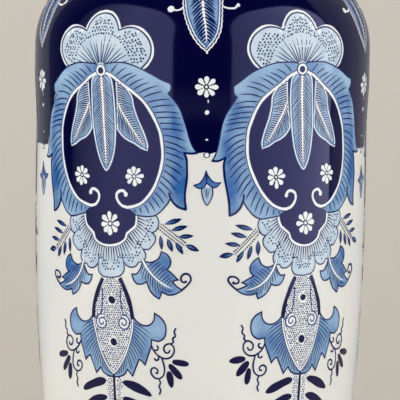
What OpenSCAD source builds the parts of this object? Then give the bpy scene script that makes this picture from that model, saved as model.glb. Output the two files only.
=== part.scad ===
// Tall glazed pottery vase: a slim barrel body that swells upwards into a round
// shoulder, a short neck with a straight throat and a flared, rolled lip, and a
// spreading foot ring.
// The clay is built from four sections luted together before firing, and three
// coats of glaze cover all of it but the bottom of the foot.
// The origin is on the axis of the vase, in the plane that the foot stands on.

/* [Body] */
// Largest radius of the body, over the glaze
belly_r = 88.9; // [80:0.1:95]
// Height of that largest radius above the ground
belly_z = 261.5; // [230:0.5:280]
// How fast the wall closes in below the belly: radius lost per squared millimetre
taper = 0.000399; // [0.0003:0.000001:0.00045]
// Height where the body is joined to its upper section
waist_joint_z = 215; // [150:1:250]

/* [Shoulder] */
// Height where the shoulder starts to turn in
shoulder_z = 345; // [335:1:355]
// Radius of the round of the shoulder
shoulder_round = 45; // [38:0.5:48]
// How far the shoulder swells out beyond the belly
shoulder_swell = 1.2; // [0:0.1:2]
// Angle through which the shoulder turns in
shoulder_turn = 75; // [65:1:80]

/* [Neck] */
// Length of the straight slope between the shoulder and the neck
slope_l = 6; // [4:0.5:10]
// Radius of the hollow where the neck rises
neck_hollow = 14; // [10:0.5:16]
// Length of the straight throat above that hollow
throat_l = 7; // [5:0.5:12]
// Radius of the curve that flares the neck
flare_round = 36; // [32:1:45]
// Angle of the flare at the lip
flare_turn = 35; // [25:1:42]
// Radius of the rolled lip
lip_r = 4.3; // [3.8:0.1:5]

/* [Foot] */
// Radius of the foot over the glaze
foot_r = 71.5; // [70:0.5:74]
// Height of the foot ring
foot_h = 8; // [7:0.5:10]
// Inner radius of the foot ring
foot_hollow_r = 60; // [56:0.5:61]
// Radius of the round on the foot's upper edge
foot_round = 3; // [2:0.5:4]
// Chamfer on the two edges that the foot stands on
foot_chamfer = 1.5; // [0.5:0.1:2]
// Height where the body's curve takes over from the foot's hollow
cove_z = 24; // [22:1:30]

/* [Wall] */
// Thickness of the fired clay
clay = 6; // [5:0.5:7]
// Thickness of each coat of glaze
glaze = 0.5; // [0.4:0.1:0.8]
// Height of the floor's upper face
floor_z = 17; // [15:0.5:20]
// Radius inside, between the floor and the wall
floor_round = 15; // [10:0.5:18]
// Height of the lower edge of the outer coat of glaze
glaze_line_z = 4; // [3:0.5:5]

/* [Hidden] */
$fn = 180;

clay_out = glaze;             // depths below the outer glaze's face
clay_in = glaze + clay;
cavity = glaze + clay + glaze;

// Largest step along the body, and steps in each curved stretch
body_step = 7.5;
arc_steps = 14;
swell_span = 38;              // height over which the shoulder swells
swell_top_z = shoulder_z - 7; // height where the swell is complete
foot_edge_angle = 45;         // angle of the foot where its round ends

// Centres of the curves: of the shoulder, the neck's hollow, the flare and the lip
shoulder_c = [body_r(shoulder_z) - shoulder_round, shoulder_z];
shoulder_end = on_arc(shoulder_c, shoulder_round, shoulder_turn);
slope_dir = [-sin(shoulder_turn), cos(shoulder_turn)];
slope_end = shoulder_end + slope_l * slope_dir;
hollow_c = slope_end + neck_hollow * [cos(shoulder_turn), sin(shoulder_turn)];
flare_c = hollow_c + [flare_round - neck_hollow, throat_l];
lip_c = on_arc(flare_c, flare_round + cavity / 2, 180 - flare_turn)
        + [sin(flare_turn), cos(flare_turn)];
lip_reach = norm(flare_c - lip_c);
lip_bearing = atan2(flare_c[1] - lip_c[1], flare_c[0] - lip_c[0]);
foot_edge_c = [foot_r - foot_round, foot_h - foot_round * sin(foot_edge_angle)];
foot_edge_end = on_arc(foot_edge_c, foot_round, foot_edge_angle);

// Lean of the wall just above the floor, and the height where the round meets it
wall_lean = atan(body_slope(floor_z + floor_round));
wall_foot_z = floor_z + floor_round * (1 - sin(wall_lean));

// A point at an angle on a circle
function on_arc(c, r, a) = c + r * [cos(a), sin(a)];

// Points along an arc from angle a to angle b
function arc(c, r, a, b) = [for (i = [0:arc_steps]) on_arc(c, r, a + (b - a) * i / arc_steps)];

// A point on the cubic curve between p and s with handles q and r
function cubic(p, q, r, s, t) =
    pow(1 - t, 3) * p + 3 * pow(1 - t, 2) * t * q + 3 * (1 - t) * t * t * r + pow(t, 3) * s;

// Smooth step from 0 to 1
function smooth(t) = t <= 0 ? 0 : t >= 1 ? 1 : t * t * (3 - 2 * t);

// Radius of the glazed body at a height, and how fast it changes with height
function body_r(z) = belly_r - taper * pow(max(0, belly_z - z), 2)
                     + shoulder_swell * smooth((z - swell_top_z) / swell_span + 1);
function body_slope(z) = 2 * taper * max(0, belly_z - z);

// Heights from one end of a stretch of the body to the other
function heights(a, b) = let (n = ceil(abs(b - a) / body_step)) [for (i = [0:n]) a + (b - a) * i / n];

// Stretches of the profile, each d millimetres below the outer glaze's face
function foot_cove(d) =
    let (top = [body_r(cove_z), cove_z], reach = (cove_z - foot_h) / 3)
    [for (i = [0:arc_steps])
        cubic(foot_edge_end, foot_edge_end + reach * [-0.7, 0.7],
              top - reach * [body_slope(cove_z), 1], top, i / arc_steps) - [d, 0]];
function body(a, b, d) = [for (z = heights(a, b)) [body_r(z) - d, z]];
function shoulder(d) = arc(shoulder_c, shoulder_round - d, 0, shoulder_turn);
function neck_line(d) = concat(
    arc(hollow_c, neck_hollow + d, 180 + shoulder_turn, 180),
    arc(flare_c, flare_round + d, 180,
        lip_bearing + 180 + corner(flare_round + d, lip_round(d), lip_reach)));

// The lip's round, from the neck's outer face over the top to its inner face
function lip_line(d) =
    let (r = lip_round(d))
    arc(lip_c, r, lip_bearing - corner(r, flare_round + d, lip_reach),
        lip_bearing + 360 - corner(r, flare_round + cavity - d, lip_reach));

// Radius of the lip, on the glaze or on the clay
function lip_round(d) = d == clay_out || d == clay_in ? lip_r - glaze : lip_r;

// Angle at the end of side a, between a and c, in a triangle with sides a, b and c
function corner(a, b, c) = acos((a * a + c * c - b * b) / (2 * a * c));

// The inside of the floor's rounded edge, from the wall to the axis
function floor_line(d) =
    let (c = [body_r(wall_foot_z) - clay_in - floor_round * cos(wall_lean), floor_z + floor_round],
         r = floor_round + clay_in - d)
    concat(arc(c, r, -wall_lean, -90), [[0, c[1] - r]]);

function reversed(list) = [for (i = [len(list) - 1:-1:0]) list[i]];

// The bare ring of clay that the vase stands on
module foot_ring() {
    edge = foot_r - clay_out;
    color("tan") rotate_extrude()
        polygon(concat(
            [[foot_hollow_r + foot_chamfer, 0], [edge - foot_chamfer, 0], [edge, foot_chamfer]],
            arc(foot_edge_c, foot_round - clay_out, 0, foot_edge_angle),
            [[foot_edge_end[0] - clay_out, foot_h], [foot_hollow_r, foot_h],
             [foot_hollow_r, foot_chamfer]]));
}

// The floor, and the wall up to the joint below the belly
module lower_body() {
    color("burlywood") rotate_extrude()
        polygon(concat(
            [[0, foot_h]],
            foot_cove(clay_out),
            body(cove_z, waist_joint_z, clay_out),
            body(waist_joint_z, wall_foot_z, clay_in),
            floor_line(clay_in)));
}

// The wall above that joint, with the shoulder
module upper_body() {
    color("wheat") rotate_extrude()
        polygon(concat(
            body(waist_joint_z, shoulder_z, clay_out),
            shoulder(clay_out),
            reversed(shoulder(clay_in)),
            body(shoulder_z, waist_joint_z, clay_in)));
}

// The neck, from the slope above the shoulder to the rolled lip
module neck() {
    color("bisque") rotate_extrude()
        polygon(concat(
            [on_arc(shoulder_c, shoulder_round - clay_out, shoulder_turn)],
            neck_line(clay_out),
            lip_line(clay_out),
            reversed(neck_line(clay_in)),
            [on_arc(shoulder_c, shoulder_round - clay_in, shoulder_turn)]));
}

// The painted outer coat, from just above the foot's edge up over the lip
module outer_glaze() {
    crown = lip_c + [0, lip_r];
    outer_lip = [for (p = lip_line(0)) if (p[0] > lip_c[0]) p];
    inner_lip = [for (p = lip_line(clay_out)) if (p[0] > lip_c[0]) p];
    color("lightsteelblue") rotate_extrude()
        polygon(concat(
            [[foot_r, glaze_line_z]],
            arc(foot_edge_c, foot_round, 0, foot_edge_angle),
            foot_cove(0),
            body(cove_z, shoulder_z, 0),
            shoulder(0),
            neck_line(0),
            outer_lip,
            [crown, crown - [0, clay_out]],
            reversed(inner_lip),
            reversed(neck_line(clay_out)),
            reversed(shoulder(clay_out)),
            body(shoulder_z, cove_z, clay_out),
            reversed(foot_cove(clay_out)),
            [[foot_edge_end[0] - clay_out, foot_h]],
            reversed(arc(foot_edge_c, foot_round - clay_out, 0, foot_edge_angle)),
            [[foot_r - clay_out, glaze_line_z]]));
}

// The white coat inside, from the lip's crown down the neck and wall and over the floor
module inner_glaze() {
    crown = lip_c + [0, lip_r];
    outer_lip = [for (p = lip_line(clay_out)) if (p[0] < lip_c[0]) p];
    inner_lip = [for (p = lip_line(0)) if (p[0] < lip_c[0]) p];
    color("ghostwhite") rotate_extrude()
        polygon(concat(
            [crown - [0, clay_out]],
            outer_lip,
            reversed(neck_line(clay_in)),
            reversed(shoulder(clay_in)),
            body(shoulder_z, wall_foot_z, clay_in),
            floor_line(clay_in),
            reversed(floor_line(cavity)),
            body(wall_foot_z, shoulder_z, cavity),
            shoulder(cavity),
            neck_line(cavity),
            reversed(inner_lip),
            [crown]));
}

// The thin coat under the floor and down the inside of the foot ring
module underside_glaze() {
    edge = foot_hollow_r - glaze;
    color("gainsboro") rotate_extrude()
        polygon([[0, foot_h - glaze], [edge, foot_h - glaze], [edge, glaze_line_z],
                 [foot_hollow_r, glaze_line_z], [foot_hollow_r, foot_h], [0, foot_h]]);
}

foot_ring();
lower_body();
upper_body();
neck();
outer_glaze();
inner_glaze();
underside_glaze();
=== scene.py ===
"""A tall tin-glazed vase, painted in blues: clay, coats of glaze and the brushwork on them.

The clay comes from the CAD. The coats are spun afresh, fine enough to carry the painting, and
the painting is laid on them as thin closed films, one piece for each colour of the palette.
"""

import logging
import math
from dataclasses import dataclass, field
from enum import Enum
from typing import Callable, Sequence

import bmesh
import bpy
import numpy as np
from mathutils import Euler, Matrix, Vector
from mathutils.geometry import delaunay_2d_cdt


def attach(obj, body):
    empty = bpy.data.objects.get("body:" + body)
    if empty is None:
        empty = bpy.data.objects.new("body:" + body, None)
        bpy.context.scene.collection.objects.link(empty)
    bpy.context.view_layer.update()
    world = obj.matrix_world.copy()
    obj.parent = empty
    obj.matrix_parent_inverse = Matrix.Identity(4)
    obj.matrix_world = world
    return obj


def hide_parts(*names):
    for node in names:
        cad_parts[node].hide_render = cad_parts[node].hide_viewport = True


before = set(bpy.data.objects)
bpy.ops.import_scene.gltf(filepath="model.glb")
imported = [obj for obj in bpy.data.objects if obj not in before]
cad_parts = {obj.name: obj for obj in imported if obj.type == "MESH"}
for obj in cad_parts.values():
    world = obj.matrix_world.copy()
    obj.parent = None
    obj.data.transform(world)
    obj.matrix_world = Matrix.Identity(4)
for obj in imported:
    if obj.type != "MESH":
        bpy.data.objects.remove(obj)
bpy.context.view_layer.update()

MM = 0.001                    # metres in a millimetre; the vase's sizes are in millimetres
UNROLL_R = 88.9               # radius at which the painting is unrolled to flat millimetres
RING_Z = 334.5                # height of the panels' rings, the zero line of the painting
PITCH = 360.0 / 5             # the five panels' spacing, in degrees
TINY = 1e-9                   # a length that counts as nothing
ROW_SHARE = 0.87              # the rows' spacing in a staggered grid, in gaps

log = logging.getLogger("vase")

Point = tuple[float, float]
Path = Sequence[Point]


class Coat(Enum):
    """The colours of the painter's palette, each laid on as a piece of its own."""

    GROUND = "blue_black_ground"
    WHITE = "white_reserves"
    PALE = "pale_wash"
    MID = "middle_wash"
    DEEP = "deep_wash"
    NAVY = "navy_brushwork"
    BLUE = "blue_brushwork"


class Touch(Enum):
    """How a brush stroke's width runs from its start to its end."""

    EVEN = "even"
    FADE = "fade"
    WEDGE = "wedge"
    LENS = "lens"
    PETAL = "petal"
    DROP = "drop"

    def widths(self, t: np.ndarray) -> np.ndarray:
        """The stroke's width, as a share of its full width, at shares t of its length."""
        broadest = 0.66
        if self is Touch.FADE:
            return np.interp(t, [0, 0.1, 0.75, 1], [0.8, 1.0, 0.8, 0.25])
        if self is Touch.WEDGE:
            return np.interp(t, [0, 0.3, 1], [1.0, 0.75, 0.2])
        if self is Touch.LENS:
            return np.maximum(np.sin(math.pi * t), 0.03) ** 0.75
        if self is Touch.PETAL:
            tip = np.maximum(1 - (np.maximum(t - broadest, 0) / (1 - broadest)) ** 2, 0.01) ** 0.62
            return np.where(t < broadest, 0.26 + 0.74 * t / broadest, tip)
        if self is Touch.DROP:
            return np.sqrt(np.maximum(1 - np.abs(2 * t ** 0.88 - 1) ** 2.3, 0.01))
        return np.ones_like(t)


# ---- The vase's form ----
def arc(centre: Point, radius: float, start: float, end: float, step: float) -> list[Point]:
    """Points along an arc.

    Args:
        centre: The arc's centre.
        radius: Its radius.
        start: The angle it starts at, in degrees.
        end: The angle it ends at, in degrees.
        step: The longest step along it.

    Returns:
        The points, both ends included.
    """
    count = max(2, math.ceil(abs(math.radians(end - start)) * radius / step))
    angles = np.radians(np.linspace(start, end, count + 1))
    return [(centre[0] + radius * math.cos(a), centre[1] + radius * math.sin(a)) for a in angles]


def corner(near: float, far: float, base: float) -> float:
    """Angle, in degrees, between the sides near and base of a triangle whose third side is far."""
    return math.degrees(math.acos((near * near + base * base - far * far) / (2 * near * base)))


@dataclass(frozen=True)
class VaseForm:
    """The vase's driving sizes, in millimetres, and the lines of its faces from them."""

    belly_r: float = 88.9
    belly_z: float = 261.5
    taper: float = 0.000399
    shoulder_z: float = 345.0
    shoulder_round: float = 45.0
    shoulder_turn: float = 75.0
    swell: float = 1.2
    swell_span: float = 38.0
    swell_top_z: float = 338.0
    slope: float = 6.0
    hollow: float = 14.0
    throat: float = 7.0
    flare: float = 36.0
    flare_turn: float = 35.0
    lip_r: float = 4.3
    foot_r: float = 71.5
    foot_h: float = 8.0
    foot_round: float = 3.0
    foot_turn: float = 45.0
    cove_z: float = 24.0
    clay: float = 6.0
    glaze: float = 0.5
    floor_z: float = 17.0
    floor_round: float = 15.0
    glaze_line_z: float = 4.0

    @property
    def cavity(self) -> float:
        """Depth of the inside face below the outer face."""
        return self.clay + 2 * self.glaze

    def body_r(self, z: float) -> float:
        """Radius of the glazed body at a height."""
        t = min(max((z - self.swell_top_z) / self.swell_span + 1, 0), 1)
        return self.belly_r - self.taper * max(0, self.belly_z - z) ** 2 + self.swell * t * t * (3 - 2 * t)

    def body_slope(self, z: float) -> float:
        """How fast the body's radius grows with height."""
        return 2 * self.taper * max(0, self.belly_z - z)

    @property
    def shoulder_c(self) -> Point:
        """Centre of the shoulder's round."""
        return self.body_r(self.shoulder_z) - self.shoulder_round, self.shoulder_z

    @property
    def hollow_c(self) -> Point:
        """Centre of the hollow under the neck."""
        turn = math.radians(self.shoulder_turn)
        out = self.shoulder_round + self.hollow
        return (self.shoulder_c[0] + out * math.cos(turn) - self.slope * math.sin(turn),
                self.shoulder_c[1] + out * math.sin(turn) + self.slope * math.cos(turn))

    @property
    def flare_c(self) -> Point:
        """Centre of the flare's curve."""
        return self.hollow_c[0] - self.hollow + self.flare, self.hollow_c[1] + self.throat

    @property
    def lip_c(self) -> Point:
        """Centre of the rolled lip."""
        turn = math.radians(self.flare_turn)
        reach = self.flare + self.cavity / 2
        return (self.flare_c[0] - reach * math.cos(turn) + math.sin(turn),
                self.flare_c[1] + reach * math.sin(turn) + math.cos(turn))

    def lip_angles(self, depth: float, radius: float) -> tuple[float, float]:
        """Angles on the lip, and on the flare, where a face at a depth meets the lip's round."""
        dx, dz = self.flare_c[0] - self.lip_c[0], self.flare_c[1] - self.lip_c[1]
        reach, bearing = math.hypot(dx, dz), math.degrees(math.atan2(dz, dx))
        face = self.flare + depth
        return corner(radius, face, reach), bearing + 180 + corner(face, radius, reach)

    def foot_line(self, depth: float, step: float) -> list[Point]:
        """The foot's edge and the hollow above it, upwards from the lower edge of the glaze."""
        turn = self.foot_turn
        centre = (self.foot_r - self.foot_round,
                  self.foot_h - self.foot_round * math.sin(math.radians(turn)))
        edge = arc(centre, self.foot_round - depth, 0, turn, step / 2)
        start = np.array(arc(centre, self.foot_round, 0, turn, step)[-1])
        end = np.array([self.body_r(self.cove_z), self.cove_z])
        reach = (self.cove_z - self.foot_h) / 3
        a = start + reach * np.array([-0.7, 0.7])
        b = end - reach * np.array([self.body_slope(self.cove_z), 1])
        line = []
        for t in np.linspace(0, 1, math.ceil(20 / step) + 1):
            p = (1 - t) ** 3 * start + 3 * (1 - t) ** 2 * t * a + 3 * (1 - t) * t * t * b + t ** 3 * end
            line.append((float(p[0]) - depth, float(p[1])))
        return [(self.foot_r - depth, self.glaze_line_z)] + edge[:-1] + line

    def body_line(self, low: float, high: float, depth: float, step: float) -> list[Point]:
        """The body's face between two heights, upwards."""
        count = math.ceil((high - low) / step)
        return [(self.body_r(z) - depth, z) for z in np.linspace(low, high, count + 1)]

    def shoulder_line(self, depth: float, step: float) -> list[Point]:
        """The shoulder's face, upwards."""
        return arc(self.shoulder_c, self.shoulder_round - depth, 0, self.shoulder_turn, step)

    def neck_line(self, depth: float, lip: float, step: float) -> list[Point]:
        """The neck's face, upwards from the hollow to the lip."""
        _, end = self.lip_angles(depth, lip)
        top = arc(self.flare_c, self.flare + depth, 180, end, step)
        low = arc(self.hollow_c, self.hollow + depth, 180 + self.shoulder_turn, 180, step)
        heights = np.linspace(low[-1][1], top[0][1], math.ceil(self.throat / step) + 1)
        return low + [(low[-1][0], z) for z in heights[1:-1]] + top

    def lip_line(self, side: int, step: float) -> list[Point]:
        """The lip's round from the neck up to its crown, on the outer (1) or inner (-1) side."""
        dx, dz = self.flare_c[0] - self.lip_c[0], self.flare_c[1] - self.lip_c[1]
        bearing = math.degrees(math.atan2(dz, dx))
        if side > 0:
            return arc(self.lip_c, self.lip_r, bearing - self.lip_angles(0, self.lip_r)[0], 90, step)
        start = bearing + 360 - self.lip_angles(self.cavity, self.lip_r)[0]
        return arc(self.lip_c, self.lip_r, start, 90, step)

    def outer_line(self, step: float, fine: float) -> list[Point]:
        """The whole outer face, from the glaze's lower edge to the crown of the lip."""
        line = self.foot_line(0, fine) + self.body_line(self.cove_z, self.shoulder_z, 0, step)[1:]
        line += self.shoulder_line(0, fine)[1:] + self.neck_line(0, self.lip_r, fine)
        return line + self.lip_line(1, fine / 2)[1:]

    def inner_line(self, step: float, fine: float) -> list[Point]:
        """The whole inside face, from the middle of the floor to the crown of the lip."""
        lean = math.atan(self.body_slope(self.floor_z + self.floor_round))
        wall_z = self.floor_z + self.floor_round * (1 - math.sin(lean))
        inner = self.glaze + self.clay
        centre = (self.body_r(wall_z) - inner - self.floor_round * math.cos(lean),
                  self.floor_z + self.floor_round)
        radius = self.floor_round - self.glaze
        line = [(0.0, centre[1] - radius)] + arc(centre, radius, -90, -math.degrees(lean), fine)
        line += self.body_line(wall_z, self.shoulder_z, self.cavity, step)[1:]
        line += self.shoulder_line(self.cavity, fine)[1:] + self.neck_line(self.cavity, self.lip_r, fine)
        return line + self.lip_line(-1, fine / 2)[1:]


class Unrolled:
    """The outer face laid flat: x runs round the vase and y up its face, both in millimetres."""

    def __init__(self, form: VaseForm) -> None:
        """Measures the face along its line.

        Args:
            form: The vase's form.
        """
        line = np.array(form.outer_line(1.0, 0.4))
        line = line[np.concatenate([[True], np.hypot(*np.diff(line, axis=0).T) > 1e-6])]
        self.along = travelled(line)
        self.line = line
        lower = line[:, 1] < form.shoulder_z
        self.along -= np.interp(RING_Z, line[lower, 1], self.along[lower])
        slope = np.gradient(line, self.along, axis=0)
        slope /= np.linalg.norm(slope, axis=1)[:, None]
        self.normal = np.stack([slope[:, 1], -slope[:, 0]], axis=1)

    def at_height(self, z: float) -> float:
        """The y of the unrolled face at a height, on the body, shoulder or neck's outside."""
        return float(np.interp(z, self.line[:, 1], self.along))

    def place(self, flat: np.ndarray, lift: float) -> tuple[np.ndarray, np.ndarray]:
        """Wraps flat points round the vase.

        Args:
            flat: The points, as rows of x and y in millimetres.
            lift: How far they stand off the glaze, in millimetres.

        Returns:
            Their places in metres and their unit normals, as rows of x, y and z.
        """
        turn = flat[:, 0] / UNROLL_R
        r, z = (np.interp(flat[:, 1], self.along, self.line[:, i]) for i in (0, 1))
        nr, nz = (np.interp(flat[:, 1], self.along, self.normal[:, i]) for i in (0, 1))
        size = np.hypot(nr, nz)
        nr, nz = nr / size, nz / size
        sin, cos = np.sin(turn), np.cos(turn)
        places = np.stack([(r + lift * nr) * sin, -(r + lift * nr) * cos, z + lift * nz], axis=1)
        return places * MM, np.stack([nr * sin, -nr * cos, nz], axis=1)


# ---- Curves ----
def travelled(line: np.ndarray) -> np.ndarray:
    """How far along a line each of its points lies."""
    return np.concatenate([[0.0], np.cumsum(np.hypot(*np.diff(line, axis=0).T))])


def points_at(line: np.ndarray, places: np.ndarray) -> np.ndarray:
    """The points that lie at given distances along a line."""
    along = travelled(line)
    return np.stack([np.interp(places, along, line[:, i]) for i in (0, 1)], axis=1)


def unit(rows: np.ndarray) -> np.ndarray:
    """The directions of the rows, each one long."""
    return rows / np.maximum(np.hypot(*rows.T), TINY)[:, None]


def leftward(run: np.ndarray) -> np.ndarray:
    """A direction, or rows of them, turned a quarter turn to the left."""
    return np.stack([-run[..., 1], run[..., 0]], axis=-1)


def subdivided(line: np.ndarray, longest: float, least: int = 1) -> np.ndarray:
    """The line with points added until no step is longer than longest, least steps to a run."""
    pieces = [line[:1]]
    for a, b in zip(line[:-1], line[1:]):
        count = max(least, math.ceil(math.hypot(*(b - a)) / longest))
        pieces.append(a + (b - a) * np.linspace(0, 1, count + 1)[1:, None])
    return np.concatenate(pieces)


def closed(loop: np.ndarray) -> np.ndarray:
    """The loop's points with the first one again at the end."""
    return np.vstack([loop, loop[:1]])


def flow(points: Path, step: float = 0.7) -> np.ndarray:
    """A smooth curve through given points.

    Args:
        points: The points it passes through.
        step: The spacing of the result before it is thinned.

    Returns:
        The curve as rows of x and y.
    """
    p = np.array(points, float)
    if len(p) < 3:
        return p
    p = np.vstack([2 * p[0] - p[1], p, 2 * p[-1] - p[-2]])
    knots = np.concatenate([[0.0], np.cumsum(np.maximum(np.hypot(*np.diff(p, axis=0).T), 1e-6) ** 0.5)])
    out = [p[1]]
    for i in range(1, len(p) - 2):
        t0, t1, t2, t3 = knots[i - 1:i + 3]
        count = max(2, int(np.ceil(np.hypot(*(p[i + 1] - p[i])) / step)))
        for t in np.linspace(t1, t2, count + 1)[1:]:
            a1 = ((t1 - t) * p[i - 1] + (t - t0) * p[i]) / (t1 - t0)
            a2 = ((t2 - t) * p[i] + (t - t1) * p[i + 1]) / (t2 - t1)
            a3 = ((t3 - t) * p[i + 1] + (t - t2) * p[i + 2]) / (t3 - t2)
            b1 = ((t2 - t) * a1 + (t - t0) * a2) / (t2 - t0)
            b2 = ((t3 - t) * a2 + (t - t1) * a3) / (t3 - t1)
            out.append(((t2 - t) * b1 + (t - t1) * b2) / (t2 - t1))
    return np.array(out)


def chain(*stretches: Path) -> np.ndarray:
    """A line of smooth stretches, each starting where the last one ended, with corners between."""
    line = flow(stretches[0])
    for stretch in stretches[1:]:
        line = np.vstack([line, flow([tuple(line[-1]), *stretch])[1:]])
    return line


def spaced(line: np.ndarray, gap: float, start: float = 0.0) -> tuple[np.ndarray, np.ndarray]:
    """Evenly spaced places along a line.

    Args:
        line: The line, as rows of x and y.
        gap: The distance between places.
        start: The distance of the first one from the line's start.

    Returns:
        The places and the line's unit directions there.
    """
    at = np.arange(start, travelled(line)[-1], gap)
    near = 0.3
    return points_at(line, at), unit(points_at(line, at + near) - points_at(line, at - near))


def offset(line: np.ndarray, by: float | np.ndarray) -> np.ndarray:
    """The line moved sideways to its left, or to its right if by is negative."""
    return line + by * leftward(unit(np.gradient(line, axis=0)))


def thinned(line: np.ndarray, slack: float, longest: float) -> np.ndarray:
    """Leaves out the points of a line that a straight run stands for within slack."""
    keep = [0]
    i = 0
    while i < len(line) - 1:
        best = i + 1
        for j in range(i + 2, min(i + 14, len(line))):
            run = line[j] - line[i]
            size = math.hypot(run[0], run[1])
            if size > longest or size < TINY:
                break
            rel = line[i + 1:j] - line[i]
            if np.abs(rel[:, 0] * run[1] - rel[:, 1] * run[0]).max() / size > slack:
                break
            best = j
        keep.append(best)
        i = best
    return line[keep]


def inside(points: np.ndarray, loop: np.ndarray) -> np.ndarray:
    """True for each point that lies inside a closed loop."""
    x, y = points[:, 0][:, None], points[:, 1][:, None]
    a, b = loop, np.roll(loop, -1, axis=0)
    spans = (a[:, 1] > y) != (b[:, 1] > y)
    rise = np.where(np.abs(b[:, 1] - a[:, 1]) < TINY, TINY, b[:, 1] - a[:, 1])
    crossing = (b[:, 0] - a[:, 0]) * (y - a[:, 1]) / rise + a[:, 0]
    return (spans & (x < crossing)).sum(axis=1) % 2 == 1


def line_gap(points: np.ndarray, line: np.ndarray) -> np.ndarray:
    """Distance of each point from an open line."""
    run = line[1:] - line[:-1]
    size = np.maximum((run ** 2).sum(axis=1), TINY)
    rel = points[:, None, :] - line[None, :-1, :]
    t = np.clip((rel * run).sum(axis=2) / size, 0, 1)
    return np.sqrt(((rel - t[:, :, None] * run) ** 2).sum(axis=2)).min(axis=1)


def clearance(points: np.ndarray, loop: np.ndarray) -> np.ndarray:
    """Distance of each point from a closed loop's line."""
    return line_gap(points, closed(loop))


def staggered(low: np.ndarray, high: np.ndarray, gap: float) -> np.ndarray:
    """Places on a grid between two corners, with every other row half a gap aside."""
    places = [(x, y) for k, y in enumerate(np.arange(low[1], high[1], gap * ROW_SHARE))
              for x in np.arange(low[0], high[0], gap) + (k % 2) * gap / 2]
    return np.array(places, float).reshape(-1, 2)


def turns_left(loop: np.ndarray) -> float:
    """Twice the area of a loop: above 0 if it runs to the left, below if to the right."""
    ahead = np.roll(loop, -1, axis=0)
    return float(np.sum(loop[:, 0] * ahead[:, 1] - ahead[:, 0] * loop[:, 1]))


def mirrored(line: np.ndarray | Path, side: int) -> np.ndarray:
    """The line as it is (side 1) or turned over about the ornament's axis (side -1)."""
    return np.array(line, float) * np.array([side, 1.0])


def whole(half: np.ndarray) -> np.ndarray:
    """Closes a half outline, given from its top to its foot, with its mirror image."""
    return np.vstack([half, mirrored(half, -1)[::-1]])


def across(half: np.ndarray) -> np.ndarray:
    """Joins a half line that starts on the axis to its mirror image."""
    return np.vstack([mirrored(half, -1)[::-1], half[1:]])


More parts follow.
